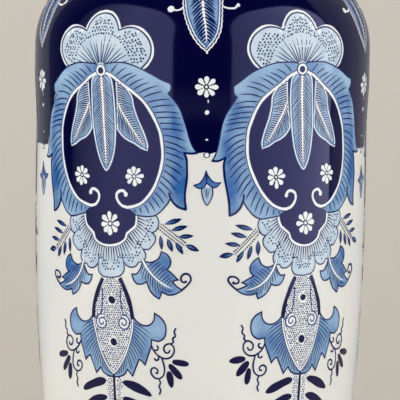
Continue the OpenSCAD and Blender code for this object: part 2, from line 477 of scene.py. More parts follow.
# ---- Painting ----
class Film:
    """One colour of the painting: thin closed solids that lie on the glaze and reach into it.

    Paint is laid in layers: 0 for the ground, 1 for white and pale fields, 2 for washes, 3 for dots
    and fine strokes, 4 for outlines, 5 for white ribs and 7 and 8 for the panels' rings. Layers
    between these keep apart what would otherwise meet.
    """

    ROOT = -0.12              # how deep a film is let into the glaze
    LOWEST = 0.05             # how far the lowest layer of paint stands off the glaze
    LEVEL = 0.032             # how much higher each layer of paint lies than the one under it
    LONGEST = 3.6             # longest straight step, so that films follow the round of the vase
    HOLLOW_Y = 73.5           # above this the face is hollow, and a film's base must follow it too
    MARGIN = 0.45             # how far a fill's inner points keep from its outline, in grains
    SHARPEST = 0.9            # keeps a stroke's outer corner from running far out at a sharp bend

    def __init__(self, face: Unrolled) -> None:
        """Starts an empty film.

        Args:
            face: The unrolled face that it lies on.
        """
        self.face = face
        self.places: list[np.ndarray] = []
        self.tones: list[np.ndarray] = []
        self.normals: list[np.ndarray] = []
        self.faces: list[tuple[int, ...]] = []
        self.count = 0

    def _add(self, flat: np.ndarray, lift: float, tones: np.ndarray | float = 0.5) -> int:
        """Adds points at a lift and returns the number of the first."""
        places, normals = self.face.place(flat, lift)
        self.places.append(places)
        self.tones.append(np.broadcast_to(tones, len(flat)))
        self.normals.append(normals)
        first, self.count = self.count, self.count + len(flat)
        return first

    def lift(self, level: float) -> float:
        """Height of a layer over the glaze."""
        return self.LOWEST + self.LEVEL * level

    def ribbon(self, line: np.ndarray, widths: np.ndarray, level: float, looped: bool = False) -> None:
        """Lays a brush stroke: flat on top, with its two flanks meeting in a keel in the glaze.

        Args:
            line: The stroke's middle, flat, as rows of x and y.
            widths: Its width at each point.
            level: The layer it lies in.
            looped: Whether its end joins its start.
        """
        n = len(line)
        if n < 2:
            return
        if looped:
            back, ahead = line - np.roll(line, 1, axis=0), np.roll(line, -1, axis=0) - line
        else:
            run = np.diff(line, axis=0)
            back, ahead = np.vstack([run[:1], run]), np.vstack([run, run[-1:]])
        middle = unit(back) + unit(ahead)
        size = np.maximum(np.hypot(*middle.T), self.SHARPEST)
        reach = (widths / size)[:, None] * leftward(unit(middle))
        left = self._add(line + reach, self.lift(level))
        right = self._add(line - reach, self.lift(level))
        keel = self._add(line, self.ROOT)
        for i in range(n if looped else n - 1):
            j = (i + 1) % n
            self.faces += [(right + i, right + j, left + j, left + i),
                           (left + i, left + j, keel + j, keel + i),
                           (keel + i, keel + j, right + j, right + i)]
        if not looped:
            self.faces += [(left, keel, right), (right + n - 1, keel + n - 1, left + n - 1)]

    def dot(self, centre: np.ndarray, rx: float, ry: float, turn: float, level: float, sides: int) -> None:
        """Lays a round or oval touch, flat on top and pointed below."""
        a = np.linspace(0, 2 * math.pi, sides, endpoint=False)
        ring = np.stack([rx * np.cos(a), ry * np.sin(a)], axis=1)
        ring = ring @ np.array([[math.cos(turn), math.sin(turn)], [-math.sin(turn), math.cos(turn)]])
        top = self._add(centre + ring, self.lift(level))
        keel = self._add(centre[None, :], self.ROOT)
        self.faces.append(tuple(top + i for i in range(sides)))
        self.faces += [(top + (i + 1) % sides, top + i, keel) for i in range(sides)]

    def patch(self, loop: np.ndarray, level: float, grain: float,
              tone: Callable[[np.ndarray], np.ndarray] | None = None) -> None:
        """Fills a closed outline.

        Args:
            loop: The outline, flat, as rows of x and y.
            level: The layer it lies in.
            grain: The spacing of the points that carry the fill over the round of the vase.
            tone: How deep the wash is at each point, from 0 to 1; even if it is left out.
        """
        if turns_left(loop) < 0:
            loop = loop[::-1]
        low, high = loop.min(axis=0), loop.max(axis=0)
        grid = staggered(low + np.array([0, grain / 2]), high, grain)
        grid = grid[inside(grid, loop)]
        grid = grid[clearance(grid, loop) > grain * self.MARGIN]
        top = self._triangles(np.vstack([loop, grid]), len(loop))
        under = top if high[1] > self.HOLLOW_Y else self._triangles(loop, len(loop))
        first = self._add(top[0], self.lift(level), 0.5 if tone is None else tone(top[0]))
        self.faces += [tuple(first + i for i in t) for t in top[1]]
        base = self._add(under[0], self.ROOT)
        self.faces += [tuple(base + i for i in reversed(t)) for t in under[1]]
        for i, j in self._rim(top[1]):
            a, b = top[0][i], top[0][j]
            ka = int(np.argmin(((under[0] - a) ** 2).sum(axis=1)))
            kb = int(np.argmin(((under[0] - b) ** 2).sum(axis=1)))
            self.faces.append((first + j, first + i, base + ka, base + kb))

    @staticmethod
    def _triangles(points: np.ndarray, n: int) -> tuple[np.ndarray, list[tuple[int, ...]]]:
        """Joins points with triangles inside the loop that the first n of them make."""
        edges = [(i, (i + 1) % n) for i in range(n)]
        verts, _, tris, *_ = delaunay_2d_cdt([Vector(p) for p in points], edges, [], 0, 1e-5)
        verts = np.array([(v[0], v[1]) for v in verts])
        middles = np.array([verts[list(t)].mean(axis=0) for t in tris])
        within = inside(middles, points[:n])
        kept = []
        for t, ok in zip(tris, within):
            if not ok:
                continue
            a, b, c = (verts[k] for k in t)
            turn = (b[0] - a[0]) * (c[1] - a[1]) - (b[1] - a[1]) * (c[0] - a[0])
            if abs(turn) > 1e-9:
                kept.append(tuple(t) if turn > 0 else tuple(reversed(t)))
        return verts, kept

    @staticmethod
    def _rim(tris: list[tuple[int, ...]]) -> list[tuple[int, int]]:
        """The directed edges that only one triangle has."""
        edges = {(t[i], t[(i + 1) % 3]) for t in tris for i in range(3)}
        return [e for e in edges if (e[1], e[0]) not in edges]

    def piece(self, name: str) -> bpy.types.Object:
        """Makes the film's mesh, with the glaze's own normals so that it shines as one with it."""
        mesh = bpy.data.meshes.new(name)
        places = np.concatenate(self.places)
        mesh.from_pydata([tuple(p) for p in places], [], self.faces)
        mesh.polygons.foreach_set("use_smooth", [True] * len(mesh.polygons))
        mesh.normals_split_custom_set_from_vertices([tuple(v) for v in np.concatenate(self.normals)])
        tones = mesh.attributes.new("tone", "FLOAT", "POINT")
        tones.data.foreach_set("value", np.clip(np.concatenate(self.tones), 0, 1).astype(np.float32))
        mesh.update()
        ob = bpy.data.objects.new(name, mesh)
        bpy.context.scene.collection.objects.link(ob)
        return ob


@dataclass(frozen=True)
class Nudge:
    """A place where the painter's hand strayed: a soft local shift of the drawing."""

    x: float
    y: float
    dx: float
    dy: float
    reach: float


@dataclass(frozen=True)
class Pool:
    """A line along which a wash lies deeper, or thinner if its amount is negative."""

    path: Path
    amount: float
    reach: float


def pools_on(side: int, *rows: tuple[Path, float, float]) -> tuple[Pool, ...]:
    """The pools of an ornament's right (1) or left (-1) half, from rows of path, amount and reach."""
    return tuple(Pool(mirrored(path, side), amount, reach) for path, amount, reach in rows)


@dataclass
class Hand:
    """Where one ornament is painted, and how its drawing strays from the pattern."""

    turn: float
    rise: float = 0.0
    lean: Sequence[Point] = ((0.0, 0.0), (-1.0, 0.0))
    nudges: Sequence[Nudge] = ()
    wobble: float = 0.35
    seed: int = 1

    def __post_init__(self) -> None:
        """Draws the phases of the hand's slow wobble."""
        self.phases = np.random.default_rng(self.seed).uniform(0, 2 * math.pi, 6)

    def place(self, line: np.ndarray) -> np.ndarray:
        """Moves pattern points to the unrolled face.

        Args:
            line: Pattern points, as rows of x from the ornament's axis and y from its ring.

        Returns:
            The same points on the unrolled face.
        """
        x, y = line[:, 0].copy(), line[:, 1].copy()
        for n in self.nudges:
            pull = np.exp(-((line[:, 0] - n.x) ** 2 + (line[:, 1] - n.y) ** 2) / n.reach ** 2)
            x, y = x + n.dx * pull, y + n.dy * pull
        p = self.phases
        x += self.wobble * (np.sin(y / 11 + p[0]) * np.sin(x / 17 + p[1]) + 0.5 * np.sin(y / 5 + p[2]))
        y += self.wobble * (np.sin(x / 9 + p[3]) * np.sin(y / 19 + p[4]) + 0.5 * np.sin(x / 6 + p[5]))
        lean = sorted(self.lean)
        x += np.interp(line[:, 1], [k[0] for k in lean], [k[1] for k in lean])
        return np.stack([x + math.radians(self.turn) * UNROLL_R, y + self.rise], axis=1)


class Painter:
    """Paints lines, fills and dots of one ornament after another onto the films."""

    def __init__(self, face: Unrolled) -> None:
        """Lays out the palette.

        Args:
            face: The unrolled face to paint on.
        """
        self.films = {coat: Film(face) for coat in Coat}
        self.hand = Hand(0.0)
        self.random = np.random.default_rng(7)

    def take(self, hand: Hand) -> None:
        """Goes to the next ornament."""
        self.hand = hand
        self.random = np.random.default_rng(hand.seed + 100)

    def line(self, coat: Coat, path: np.ndarray | Path, width: float, level: float,
             touch: Touch = Touch.EVEN, looped: bool = False) -> None:
        """Paints one stroke.

        Args:
            coat: The colour.
            path: The stroke's middle, in the pattern.
            width: Its full width.
            level: The layer it lies in.
            touch: How the width runs along it.
            looped: Whether its end joins its start.
        """
        line = self.hand.place(np.array(path, float))
        line = subdivided(line, Film.LONGEST, 3 if len(line) == 2 else 1)
        line = thinned(line, 0.02 + 0.015 * width, Film.LONGEST)
        if touch in (Touch.LENS, Touch.DROP, Touch.PETAL):
            line = self.respaced(line, 0.5 - 0.5 * np.cos(np.linspace(0, math.pi, max(13, len(line)))))
        elif touch is not Touch.EVEN and len(line) < 5:
            line = self.respaced(line, np.linspace(0, 1, 5))
        if looped:
            line = line[:-1]
        along = travelled(line)
        sway = 1 + 0.09 * np.sin(along / 2.3 + self.random.uniform(0, 6.28))
        shape = touch.widths(along / max(along[-1], TINY))
        self.films[coat].ribbon(line, width * shape * sway, level, looped)

    @staticmethod
    def respaced(line: np.ndarray, shares: np.ndarray) -> np.ndarray:
        """The line with its points at given shares of its length."""
        return points_at(line, shares * travelled(line)[-1])

    def fill(self, coat: Coat, loop: np.ndarray | Path, level: float, grain: float = 3.2,
             tone: float = 0.5, pools: Sequence[Pool] = ()) -> None:
        """Fills a closed outline of the pattern.

        Args:
            coat: The colour.
            loop: The outline.
            level: The layer it lies in.
            grain: The spacing of the points inside it.
            tone: How deep the wash is, from 0 to 1.
            pools: Lines along which it is deeper or thinner.
        """
        lines = [(self.hand.place(np.array(pool.path, float)), pool) for pool in pools]

        def depth(points: np.ndarray) -> np.ndarray:
            """How deep the wash is at each point."""
            deep = np.full(len(points), tone)
            for line, pool in lines:
                deep = deep + pool.amount * np.exp(-(line_gap(points, line) / pool.reach) ** 2)
            return deep

        line = thinned(closed(self.hand.place(np.array(loop, float))), 0.03, Film.LONGEST)
        self.films[coat].patch(subdivided(line, Film.LONGEST)[:-1], level, grain, depth)

    def dot(self, coat: Coat, x: float, y: float, radius: float, level: float, squash: float = 1.0) -> None:
        """Sets one touch of the brush's tip."""
        centre = self.hand.place(np.array([[x, y]], float))[0]
        size = radius * self.random.uniform(0.86, 1.14)
        sides = 7 if radius < 0.6 else 12 if radius < 1.5 else 20
        turn = self.random.uniform(0, math.pi) if squash == 1.0 else 0.0
        oval = squash if squash != 1.0 else self.random.uniform(0.82, 1.0)
        self.films[coat].dot(centre, size, size * oval, turn, level, sides)

    def stipple(self, coat: Coat, loop: np.ndarray | Path, gap: float, radius: float, level: float,
                margin: float, allow: Callable[[np.ndarray], np.ndarray] | None = None) -> None:
        """Covers an outline with small dots.

        Args:
            coat: The colour.
            loop: The outline in the pattern.
            gap: The dots' spacing.
            radius: Their radius.
            level: The layer they lie in.
            margin: How far they keep from the outline.
            allow: Says which places may have a dot; all of them if it is left out.
        """
        loop = np.array(loop, float)
        places = staggered(loop.min(axis=0), loop.max(axis=0), gap)
        places = places + self.random.normal(0, gap * 0.09, places.shape)
        places = places[inside(places, loop)]
        places = places[clearance(places, loop) > margin]
        if allow is not None:
            places = places[allow(places)]
        for x, y in places:
            self.dot(coat, x, y, radius, level)

    def flower(self, x: float, y: float, size: float, level: float, turn: float = 0.0) -> None:
        """Paints a white flower with eight petals.

        Args:
            x: Its middle, from the ornament's axis.
            y: Its middle, from the ring.
            size: Its radius.
            level: The layer it lies in.
            turn: The angle of its first petal, in degrees.
        """
        for k in range(8):
            a = math.radians(turn + 45 * k + self.random.uniform(-4, 4))
            reach = size * self.random.uniform(0.92, 1.06)
            run = np.array([math.cos(a), math.sin(a)])
            middle = np.array([x, y])
            self.line(Coat.WHITE, [middle + run * size * 0.24, middle + run * reach], size * 0.46,
                      level, Touch.PETAL)
        self.dot(Coat.WHITE, x, y, size * 0.13, level)


# ---- Shared strokes ----
def run_inside(start: np.ndarray, run: np.ndarray, loop: np.ndarray, longest: float) -> float:
    """How far a stroke can go from a start before it leaves an outline."""
    steps = np.arange(0.3, longest + 0.3, 0.3)
    within = inside(start + steps[:, None] * run, loop)
    if within.all():
        return longest
    return float(steps[int(np.argmin(within))]) - 0.3


@dataclass(frozen=True)
class Barbs:
    """How fine strokes spring from a rib."""

    gap: float
    width: float
    angles: Sequence[float]
    lengths: Sequence[float]
    off: float = 0.6
    margin: float = 0.8
    touch: Touch = Touch.FADE


def barbs(painter: Painter, coat: Coat, rib: np.ndarray, loop: np.ndarray, side: int, level: float,
          how: Barbs, start: float = 0.8) -> None:
    """Paints fine strokes that spring from one side of a rib.

    Args:
        painter: Who paints them.
        coat: Their colour.
        rib: The rib, as rows of x and y from its root.
        loop: The outline they stay inside.
        side: 1 for the rib's left, -1 for its right, looking along it.
        level: The layer they lie in.
        how: Their spacing, width, angles to the rib and lengths along it.
        start: How far along the rib the first one springs.
    """
    stray, shortest, arch = 2.5, 0.9, 0.04
    places, runs = spaced(rib, how.gap, start)
    for t, place, run in zip(np.linspace(0, 1, max(len(places), 2)), places, runs):
        angle = float(np.interp(t, np.linspace(0, 1, len(how.angles)), how.angles))
        angle = side * math.radians(angle + painter.random.uniform(-stray, stray))
        aim = run * math.cos(angle) + leftward(run) * math.sin(angle)
        first = place + side * how.off * leftward(run)
        longest = float(np.interp(t, np.linspace(0, 1, len(how.lengths)), how.lengths))
        longest *= painter.random.uniform(0.9, 1.05)
        length = min(longest, run_inside(first, aim, loop, longest + how.margin) - how.margin)
        if length > shortest:
            bow = first + aim * length / 2 + side * arch * length * leftward(aim)
            painter.line(coat, flow([first, bow, first + aim * length]), how.width, level, how.touch)


def spiral(centre: Point, start_r: float, end_r: float, start: float, end: float) -> np.ndarray:
    """A spiral that winds in from one radius to another between two angles in degrees."""
    count = max(8, int(abs(end - start) / 14))
    angles = np.radians(np.linspace(start, end, count))
    radii = np.linspace(start_r, end_r, count)
    return np.stack([centre[0] + radii * np.cos(angles), centre[1] + radii * np.sin(angles)], axis=1)


def scalloped(line: np.ndarray, deep: float, long: float) -> np.ndarray:
    """The line with small scallops that bulge to its left."""
    return offset(line, deep * np.abs(np.sin(math.pi * travelled(line) / long))[:, None])


@dataclass
class Feather:
    """A hanging feather: a washed leaf shape with a white rib and barbs in white and dark."""

    outline: np.ndarray
    rib: np.ndarray
    barbed: np.ndarray
    rib_w: float = 1.0
    gap: float = 1.4
    angles: tuple[float, float] = (44.0, 44.0)
    level: float = 3.0
    edge_w: float = 0.5
    barb_w: float = 0.72
    tone: float = 0.2
    barb_touch: Touch = Touch.WEDGE

    def paint(self, painter: Painter) -> None:
        """Paints the wash, then the barbs, the edges and the rib.

        Args:
            painter: Who paints it.
        """
        painter.fill(Coat.MID, self.outline, self.level, 2.2, self.tone, (Pool(self.barbed, 0.36, 2.4),))
        inward = math.copysign(1, turns_left(self.outline))
        rim = scalloped(offset(closed(self.outline), inward * 0.3), inward * 0.3, 2.4)
        painter.line(Coat.WHITE, rim, self.edge_w, self.level + 1)
        painter.line(Coat.BLUE, offset(rim, inward * 0.75), 0.36, self.level + 1.5)
        for side, angle in zip((1, -1), self.angles):
            dark = Barbs(self.gap, self.barb_w, (angle, angle), (9.0, 9.0, 6.5), 0.45, 1.15, self.barb_touch)
            light = Barbs(self.gap, 0.42, (angle, angle), (2.6, 2.6, 2.2), 0.4, 1.5, Touch.WEDGE)
            barbs(painter, Coat.NAVY, self.barbed, self.outline, side, self.level + 2, dark, 0.9)
            barbs(painter, Coat.WHITE, self.barbed, self.outline, side, self.level + 2, light,
                  0.9 + self.gap / 2)
        painter.line(Coat.WHITE, self.rib, self.rib_w, self.level + 2.6, Touch.FADE)


# ---- The hanging panels ----
@dataclass
class Panel:
    """One of the five panels: a shell over a frilled frame, with leaves and tendrils below it.

    Its outlines are the right half's, in millimetres from its axis and from its ring.
    """

    painter: Painter
    hand: Hand
    ring_r: float = 2.3
    ring_w: float = 1.1
    rib_w: float = 1.38
    outline_w: float = 0.75
    stem_end: float = -231.0
    leaf_step: float = 8.7
    shell_dot_rows: Sequence[float] = (19.4, 21.1, 22.8, 24.5, 26.2, 27.8)
    spoke_angles: Sequence[float] = (9, 17, 26, 35, 44, 53, 62, 71, 80, 90)

    def __post_init__(self) -> None:
        """Draws the outlines that several of the parts share."""
        self.shell_edge = chain([(0, 32), (4.5, 31), (8, 28.3), (10.3, 25), (11.6, 21.8)],
                                [(15, 23.1), (19, 23.6), (23, 22.8), (27, 20), (29.8, 16), (31, 11.5),
                                 (30.6, 8), (29, 5), (27, 2.5), (24.5, 1)])
        self.shell_inner = chain([(0, 30.2), (4, 29.4), (7, 27.1), (9, 24.2), (10.4, 20.6)],
                                 [(13.5, 21.8), (17, 22.4), (20.5, 22), (24.5, 20), (27.7, 16.8),
                                  (29.3, 13), (29.2, 9), (27.8, 5.8), (25.4, 3), (23, 0.8)])
        self.rib = flow([(2.6, -1.1), (7.2, -3.1), (11.9, -6.6), (18.7, -11.1), (23.4, -15.1), (27, -20.1),
                         (29.7, -25.6), (31.6, -31.1), (32.2, -37.1), (32.3, -43.1), (31.4, -49.1),
                         (29.8, -54.1), (27.2, -59.6), (23.7, -64.1), (19.5, -67.8), (14.4, -69.9),
                         (11.3, -70.4)])
        self.rib_curl = flow([(11.3, -70.4), (8.4, -69.6), (6.5, -67.8), (5.5, -65.1), (6.1, -63.1),
                              (7.9, -61.9), (9.9, -61.8), (11.1, -62.9)])
        self.tips = [[(50.4, -41.4), (47, -41.9), (43.5, -41.6)],
                     [(43.5, -41.6), (44.6, -44.5), (44.8, -49.1), (44.7, -54.1), (43.8, -59.1),
                      (42.9, -64.1), (42.8, -70.6)],
                     [(42.8, -70.6), (39.5, -69.6), (37, -67.5), (35.5, -64.8)]]
        self.frill = chain([(2.2, 3.1), (4.7, 3.7), (9.7, 4), (14.7, 4), (19.6, 2.9), (24.5, 1.2),
                            (29.3, -0.9), (34.2, -3.6), (38.8, -5.5)],
                           [(39, -7.5), (38.5, -9.2), (37.1, -10.8)],
                           [(40.3, -14.6), (43, -19.1), (44.6, -24.1), (45.8, -29.1), (47.2, -35.5),
                            (48.6, -39.1), (50.4, -41.4)],
                           *(tip[1:] for tip in self.tips),
                           [(34.3, -66.8), (32.4, -69), (29.2, -72), (26, -74), (21, -74.7), (16, -74.4)])
        self.medallion = chain([(11.4, -71.1), (14, -72.6), (16, -74.6), (16, -77.1), (15, -80.1),
                                (12.8, -82.1), (10.3, -84.1)],
                               [(9.2, -87.1), (6.7, -89.1), (3.2, -90.3), (0, -90.6)])
        self.lobes = chain([(22, -73), (26.8, -74.1), (28, -76.6), (27.5, -79.6), (25.9, -82.1),
                            (24.2, -82.9)],
                           [(25.9, -84.6), (25.7, -87.4), (24.2, -89.6), (22, -91.7), (19.1, -91.9)],
                           [(20.3, -94.1), (20, -96.6), (18.4, -98.4), (16.2, -98.9)],
                           [(14.8, -100.9), (12, -101.8), (9.4, -100.9), (7.7, -98.9)],
                           [(8.1, -101.6), (7.6, -104.1), (5.2, -106.5), (0, -107.3)])
        self.body_rib = flow([(12.5, -128.8), (11.8, -134), (10.5, -139), (8.8, -144), (6, -150),
                              (3, -154.5), (0, -157.5)])
        self.body_band = flow([(5.2, -107.6), (7.4, -111.6), (9.6, -116.6), (11.5, -122), (12.4, -129)])

    def paint(self) -> None:
        """Paints the whole panel."""
        self.painter.take(self.hand)
        self.paint_shell()
        self.paint_frame()
        for side in (1, -1):
            self.paint_frill(side)
        self.paint_feathers()
        self.paint_medallion()
        self.paint_body()
        for side in (1, -1):
            self.paint_sprig(side)
            self.paint_side_leaf(side)
            self.paint_big_leaf(side)
            self.paint_tendrils(side)
        self.paint_stem()
        self.paint_ring()

    def paint_ring(self) -> None:
        """Paints the white ring that the panel hangs from."""
        circle = spiral((0, 0), self.ring_r, self.ring_r, 0, 360)
        self.painter.dot(Coat.NAVY, 0, 0, self.ring_r + 1.0, 7.0, 0.97)
        self.painter.line(Coat.WHITE, circle, self.ring_w, 8.0, looped=True)

    def paint_shell(self) -> None:
        """Paints the scalloped shell: its white field, dark edge line, spokes and dots."""
        p = self.painter
        loop = whole(self.shell_edge)
        p.fill(Coat.WHITE, loop, 1, 2.4)
        inner = whole(self.shell_inner)
        p.fill(Coat.PALE, inner, 1.3, 2.4, 0.06, (Pool([(-9, 3), (0, 7), (9, 3)], 0.16, 6.0),))
        p.line(Coat.NAVY, across(self.shell_inner), 0.85, 1.8)
        for angle in sorted({a for s in self.spoke_angles for a in (s, 180 - s)}):
            a = math.radians(angle + p.random.uniform(-2, 2))
            run = np.array([math.cos(a), math.sin(a)])
            reach = p.random.uniform(15, 19.5)
            far = run_inside(run * 5, run, inner, reach) - 1.5
            if far > 3:
                p.line(Coat.NAVY, [run * 4.2, run * (4.2 + min(far, reach - 4))], 0.66, 1.8, Touch.FADE)
        for row in self.shell_dot_rows:
            for angle in np.arange(8, 172, math.degrees(1.75 / row)):
                a = math.radians(angle + p.random.uniform(-1.2, 1.2))
                r = row + p.random.uniform(-0.35, 0.35)
                place = np.array([[r * math.cos(a), r * math.sin(a)]])
                if inside(place, inner)[0] and clearance(place, inner)[0] > 2.3:
                    p.dot(Coat.NAVY, float(place[0, 0]), float(place[0, 1]), 0.58, 1.8)

    def paint_frame(self) -> None:
        """Paints the dark ground inside the frame's rib and in the medallion under it."""
        half = np.vstack([[(0, -1)], self.rib, self.medallion])
        self.painter.fill(Coat.GROUND, whole(half[:-1]), 2, 3.2)

    def paint_frill(self, side: int) -> None:
        """Paints one side of the frilled frame and its white rib.

        Args:
            side: 1 for the right, -1 for the left.
        """
        p = self.painter
        loop = np.vstack([self.frill, self.rib[::-1]])
        deep = flow([(36.5, -16), (39.5, -23), (41.3, -30), (42, -36), (42, -42), (42, -48), (41.8, -56),
                     (40.6, -64), (40, -68)])
        rim = flow([(16, 3), (26, -0.4), (37, -6)])
        upper_tip = flow([(42.6, -18), (45.8, -28), (48.4, -39)])
        pools = pools_on(side, (deep, 0.36, 4.2), (rim, -0.3, 5.0), (upper_tip, -0.34, 2.6),
                         (self.rib, 0.12, 4.0), ([(39.6, -53), (39.4, -58)], 0.5, 3.0),
                         ([(35, -70), (24, -73)], -0.25, 4.0))
        p.fill(Coat.MID, mirrored(loop, side), 2, 2.4, 0.5, pools)
        how = Barbs(2.95, 0.78, (70, 60, 62, 66, 66, 63, 74, 78),
                    (6, 10.5, 13.5, 12.5, 11, 10.3, 8.5, 5.5), 1.7, 1.3)
        barbs(p, Coat.NAVY, mirrored(self.rib, side), mirrored(loop, side), side, 4, how, 3.5)
        p.line(Coat.NAVY, mirrored(self.frill, side), self.outline_w, 4.5)
        for tip, inwards in zip(self.tips, ([], [], [(35, -62)])):
            p.line(Coat.NAVY, mirrored(flow(tip + inwards), side), 1.15, 5)
        rib = np.vstack([self.rib, self.rib_curl[1:]])
        p.line(Coat.NAVY, mirrored(rib, side), self.rib_w + 0.9, 4)
        p.line(Coat.WHITE, mirrored(rib, side), self.rib_w, 5.2)
        p.dot(Coat.WHITE, side * 11.2, -63.6, 1.3, 5.2)

    def paint_feathers(self) -> None:
        """Paints the three feathers that hang in the frame."""
        p = self.painter
        for side in (1, -1):
            outer = [(8.6, -3.8), (12.2, -6.6), (15.6, -9.6), (17.8, -13.4), (18.5, -18.1), (20.3, -24.1),
                     (22.4, -29.1), (24, -33.6), (24.9, -38.1), (24.3, -40.8)]
            lower = [(20.7, -39.6), (16.9, -37.3), (13, -35.6), (10.1, -33.4), (7.6, -30.1)]
            inner = [(8.2, -20), (8.4, -12), (8.6, -3.8)]
            rib = flow([(9.5, -16.6), (10.4, -19.6), (12.8, -23.6), (17.2, -30.6), (21.6, -37.2)])
            barbed = np.vstack([flow([(8.9, -5), (9, -11), (9.4, -16)]), rib])
            loop = chain(outer, lower, inner)[:-1]
            angles = (66.0, 42.0) if side > 0 else (42.0, 66.0)
            lines = (mirrored(line, side) for line in (loop, rib, barbed))
            Feather(*lines, 0.8, 1.3, angles).paint(p)
        half = flow([(4.2, -1.6), (6.4, -4.4), (7.2, -10), (7.5, -19), (7.4, -28), (6.8, -35), (5.4, -42.5),
                     (3.5, -47.7), (1.5, -51), (0, -52.4)])
        rib = flow([(0, -2), (0.1, -16), (0, -28), (0, -48.6)])
        Feather(whole(half[:-1]), rib, rib, 1.15, 1.45, level=4.0).paint(p)
        for x, y, size in ((16.6, -54, 5.3), (-17, -55.2, 5.3)):
            p.flower(x, y, size, 4, 90 + p.random.uniform(-8, 8))

    def paint_medallion(self) -> None:
        """Paints the lobed apron round the medallion, its white band, strokes and dots."""
        p = self.painter
        inner_edge, loop = across(self.medallion), whole(self.lobes[:-1])
        pools = (Pool(across(self.lobes)[::2], 0.2, 1.2), Pool(inner_edge[::2], 0.34, 3.0))
        p.fill(Coat.PALE, loop, 1, 2.0, 0.13, pools)
        for side in (1, -1):
            p.line(Coat.NAVY, mirrored(self.lobes, side), 0.68, 1.6)
            places, runs = spaced(self.medallion, 1.32, 5.4)
            for place, run in zip(places, runs):
                away = place - np.array([0, -66.0])
                aim = 0.35 * leftward(run) + 0.65 * away / np.hypot(*away)
                aim /= np.hypot(*aim)
                first = place + aim * 1.1
                reach = run_inside(first, aim, loop, 20) * p.random.uniform(0.44, 0.54)
                if reach > 1.5:
                    p.line(Coat.NAVY, mirrored([first, first + aim * reach], side), 0.74, 3, Touch.WEDGE)
                    between = first + 0.62 * run
                    p.line(Coat.WHITE, mirrored([between, between + aim * reach * 0.8], side), 0.42, 2.6,
                           Touch.WEDGE)
            for first, last in (((24.2, -82.9), (19.5, -80.6)), ((19.1, -91.9), (15.4, -87.4)),
                                ((7.7, -98.9), (6.9, -93.4))):
                p.line(Coat.NAVY, mirrored([first, last], side), 0.5, 3, Touch.FADE)
            band = self.medallion[self.medallion[:, 1] < -74.4]
            p.line(Coat.NAVY, mirrored(self.medallion, side), 0.6, 3.5)
            p.line(Coat.NAVY, mirrored(band, side), 1.9, 3.5)
            p.line(Coat.WHITE, mirrored(band, side), 1.15, 4.5)

        def in_band(places: np.ndarray) -> np.ndarray:
            """Keeps the dots in a band between the strokes and the lobes' plain rims."""
            off, gap = line_gap(places, inner_edge), clearance(places, loop)
            share = off / (off + gap)
            thinned_out = p.random.uniform(0, 1, len(places)) < 0.88
            return (share > 0.58) & (share < 0.8) & (places[:, 1] < -76) & thinned_out

        p.stipple(Coat.NAVY, loop, 1.7, 0.52, 3, 1.8, in_band)
        p.flower(0.4, -79.2, 6.1, 4, 92)

    def paint_sprig(self, side: int) -> None:
        """Paints the dotted sprig with brush leaves that springs from the apron."""
        p = self.painter
        start, end = np.array([28.3, -79.2]), np.array([41.2, -89.0])
        stem = np.array([start, end])
        p.line(Coat.NAVY, mirrored(stem, side), 0.42, 3)
        for by in (1.5, -1.5):
            places, _ = spaced(offset(stem, by), 1.25, 0.4)
            for x, y in places:
                p.dot(Coat.NAVY, side * x, y, 0.5, 3)
        leaves = [((31, -78.2), (40.2, -75.4), 2.5), ((34.4, -81.2), (43, -79), 2.4),
                  ((38.3, -84.5), (46, -84), 2.4), ((41.8, -88.6), (48.8, -91.8), 2.9),
                  ((28.6, -84.1), (29.2, -91.4), 2.4), ((32.3, -85.6), (34.8, -92.2), 2.6),
                  ((36.6, -87.4), (40.4, -93.4), 2.6)]
        for first, last, width in leaves:
            p.line(Coat.NAVY, mirrored([first, last], side), width, 4, Touch.LENS)
            tip = np.array(first) * 0.35 + np.array(last) * 0.65
            p.line(Coat.DEEP, mirrored([first, tip], side), width * 0.24, 5, Touch.LENS)

    def paint_side_leaf(self, side: int) -> None:
        """Paints the toothed leaf with a curled end beside the apron."""
        p = self.painter
        loop = chain([(19, -98), (22, -98.5), (25, -97.7), (27.5, -95.7), (28.9, -92.4)],
                     [(31.5, -93.4), (33.4, -96), (33.3, -99), (31.5, -101.5)],
                     [(33.8, -103.2), (37.2, -106.6)], [(35.3, -107), (34.5, -108)],
                     [(36.8, -110.2), (39.6, -111.9)],
                     [(36.5, -113.9), (32.5, -114.6), (28.6, -113.2)],
                     [(28.3, -115.2), (27.5, -117)],
                     [(25.2, -115.8), (22.5, -113), (20.5, -108.7)],
                     [(18.3, -110), (15.3, -110.2), (13.4, -108.4), (12.4, -105.4)],
                     [(15, -105), (17, -102.4), (18.6, -98.6)])
        rib = flow([(18.2, -96.6), (19.9, -100.2), (22.8, -104), (26.7, -107.4), (30.6, -109.8),
                    (34.2, -111.2)])
        pools = pools_on(side, ([(24, -99.5), (30, -101.5), (33.5, -106)], 0.42, 2.8),
                         ([(30, -94.8), (32.4, -97.5)], 0.5, 2.2),
                         ([(34, -113), (29, -113.4), (26, -115)], 0.34, 2.2),
                         ([(14, -107.5), (17.6, -104.4)], -0.3, 2.8),
                         ([(21.5, -112.5), (24.5, -113.8)], -0.3, 2.2))
        p.fill(Coat.MID, mirrored(loop, side), 2, 2.0, 0.42, pools)
        p.line(Coat.NAVY, mirrored(closed(loop), side), 0.8, 4)
        up = Barbs(1.7, 0.55, (100, 84, 62), (7.5, 8.5, 3), 1.0, 1.1)
        down = Barbs(1.5, 0.55, (52, 44, 40), (5.5, 7, 4), 1.0, 1.1)
        barbs(p, Coat.NAVY, mirrored(rib, side), mirrored(loop, side), side, 4, up, 2.2)
        barbs(p, Coat.NAVY, mirrored(rib, side), mirrored(loop, side), -side, 4, down, 2.2)
        p.line(Coat.NAVY, mirrored(rib, side), 1.7, 4.4, Touch.FADE)
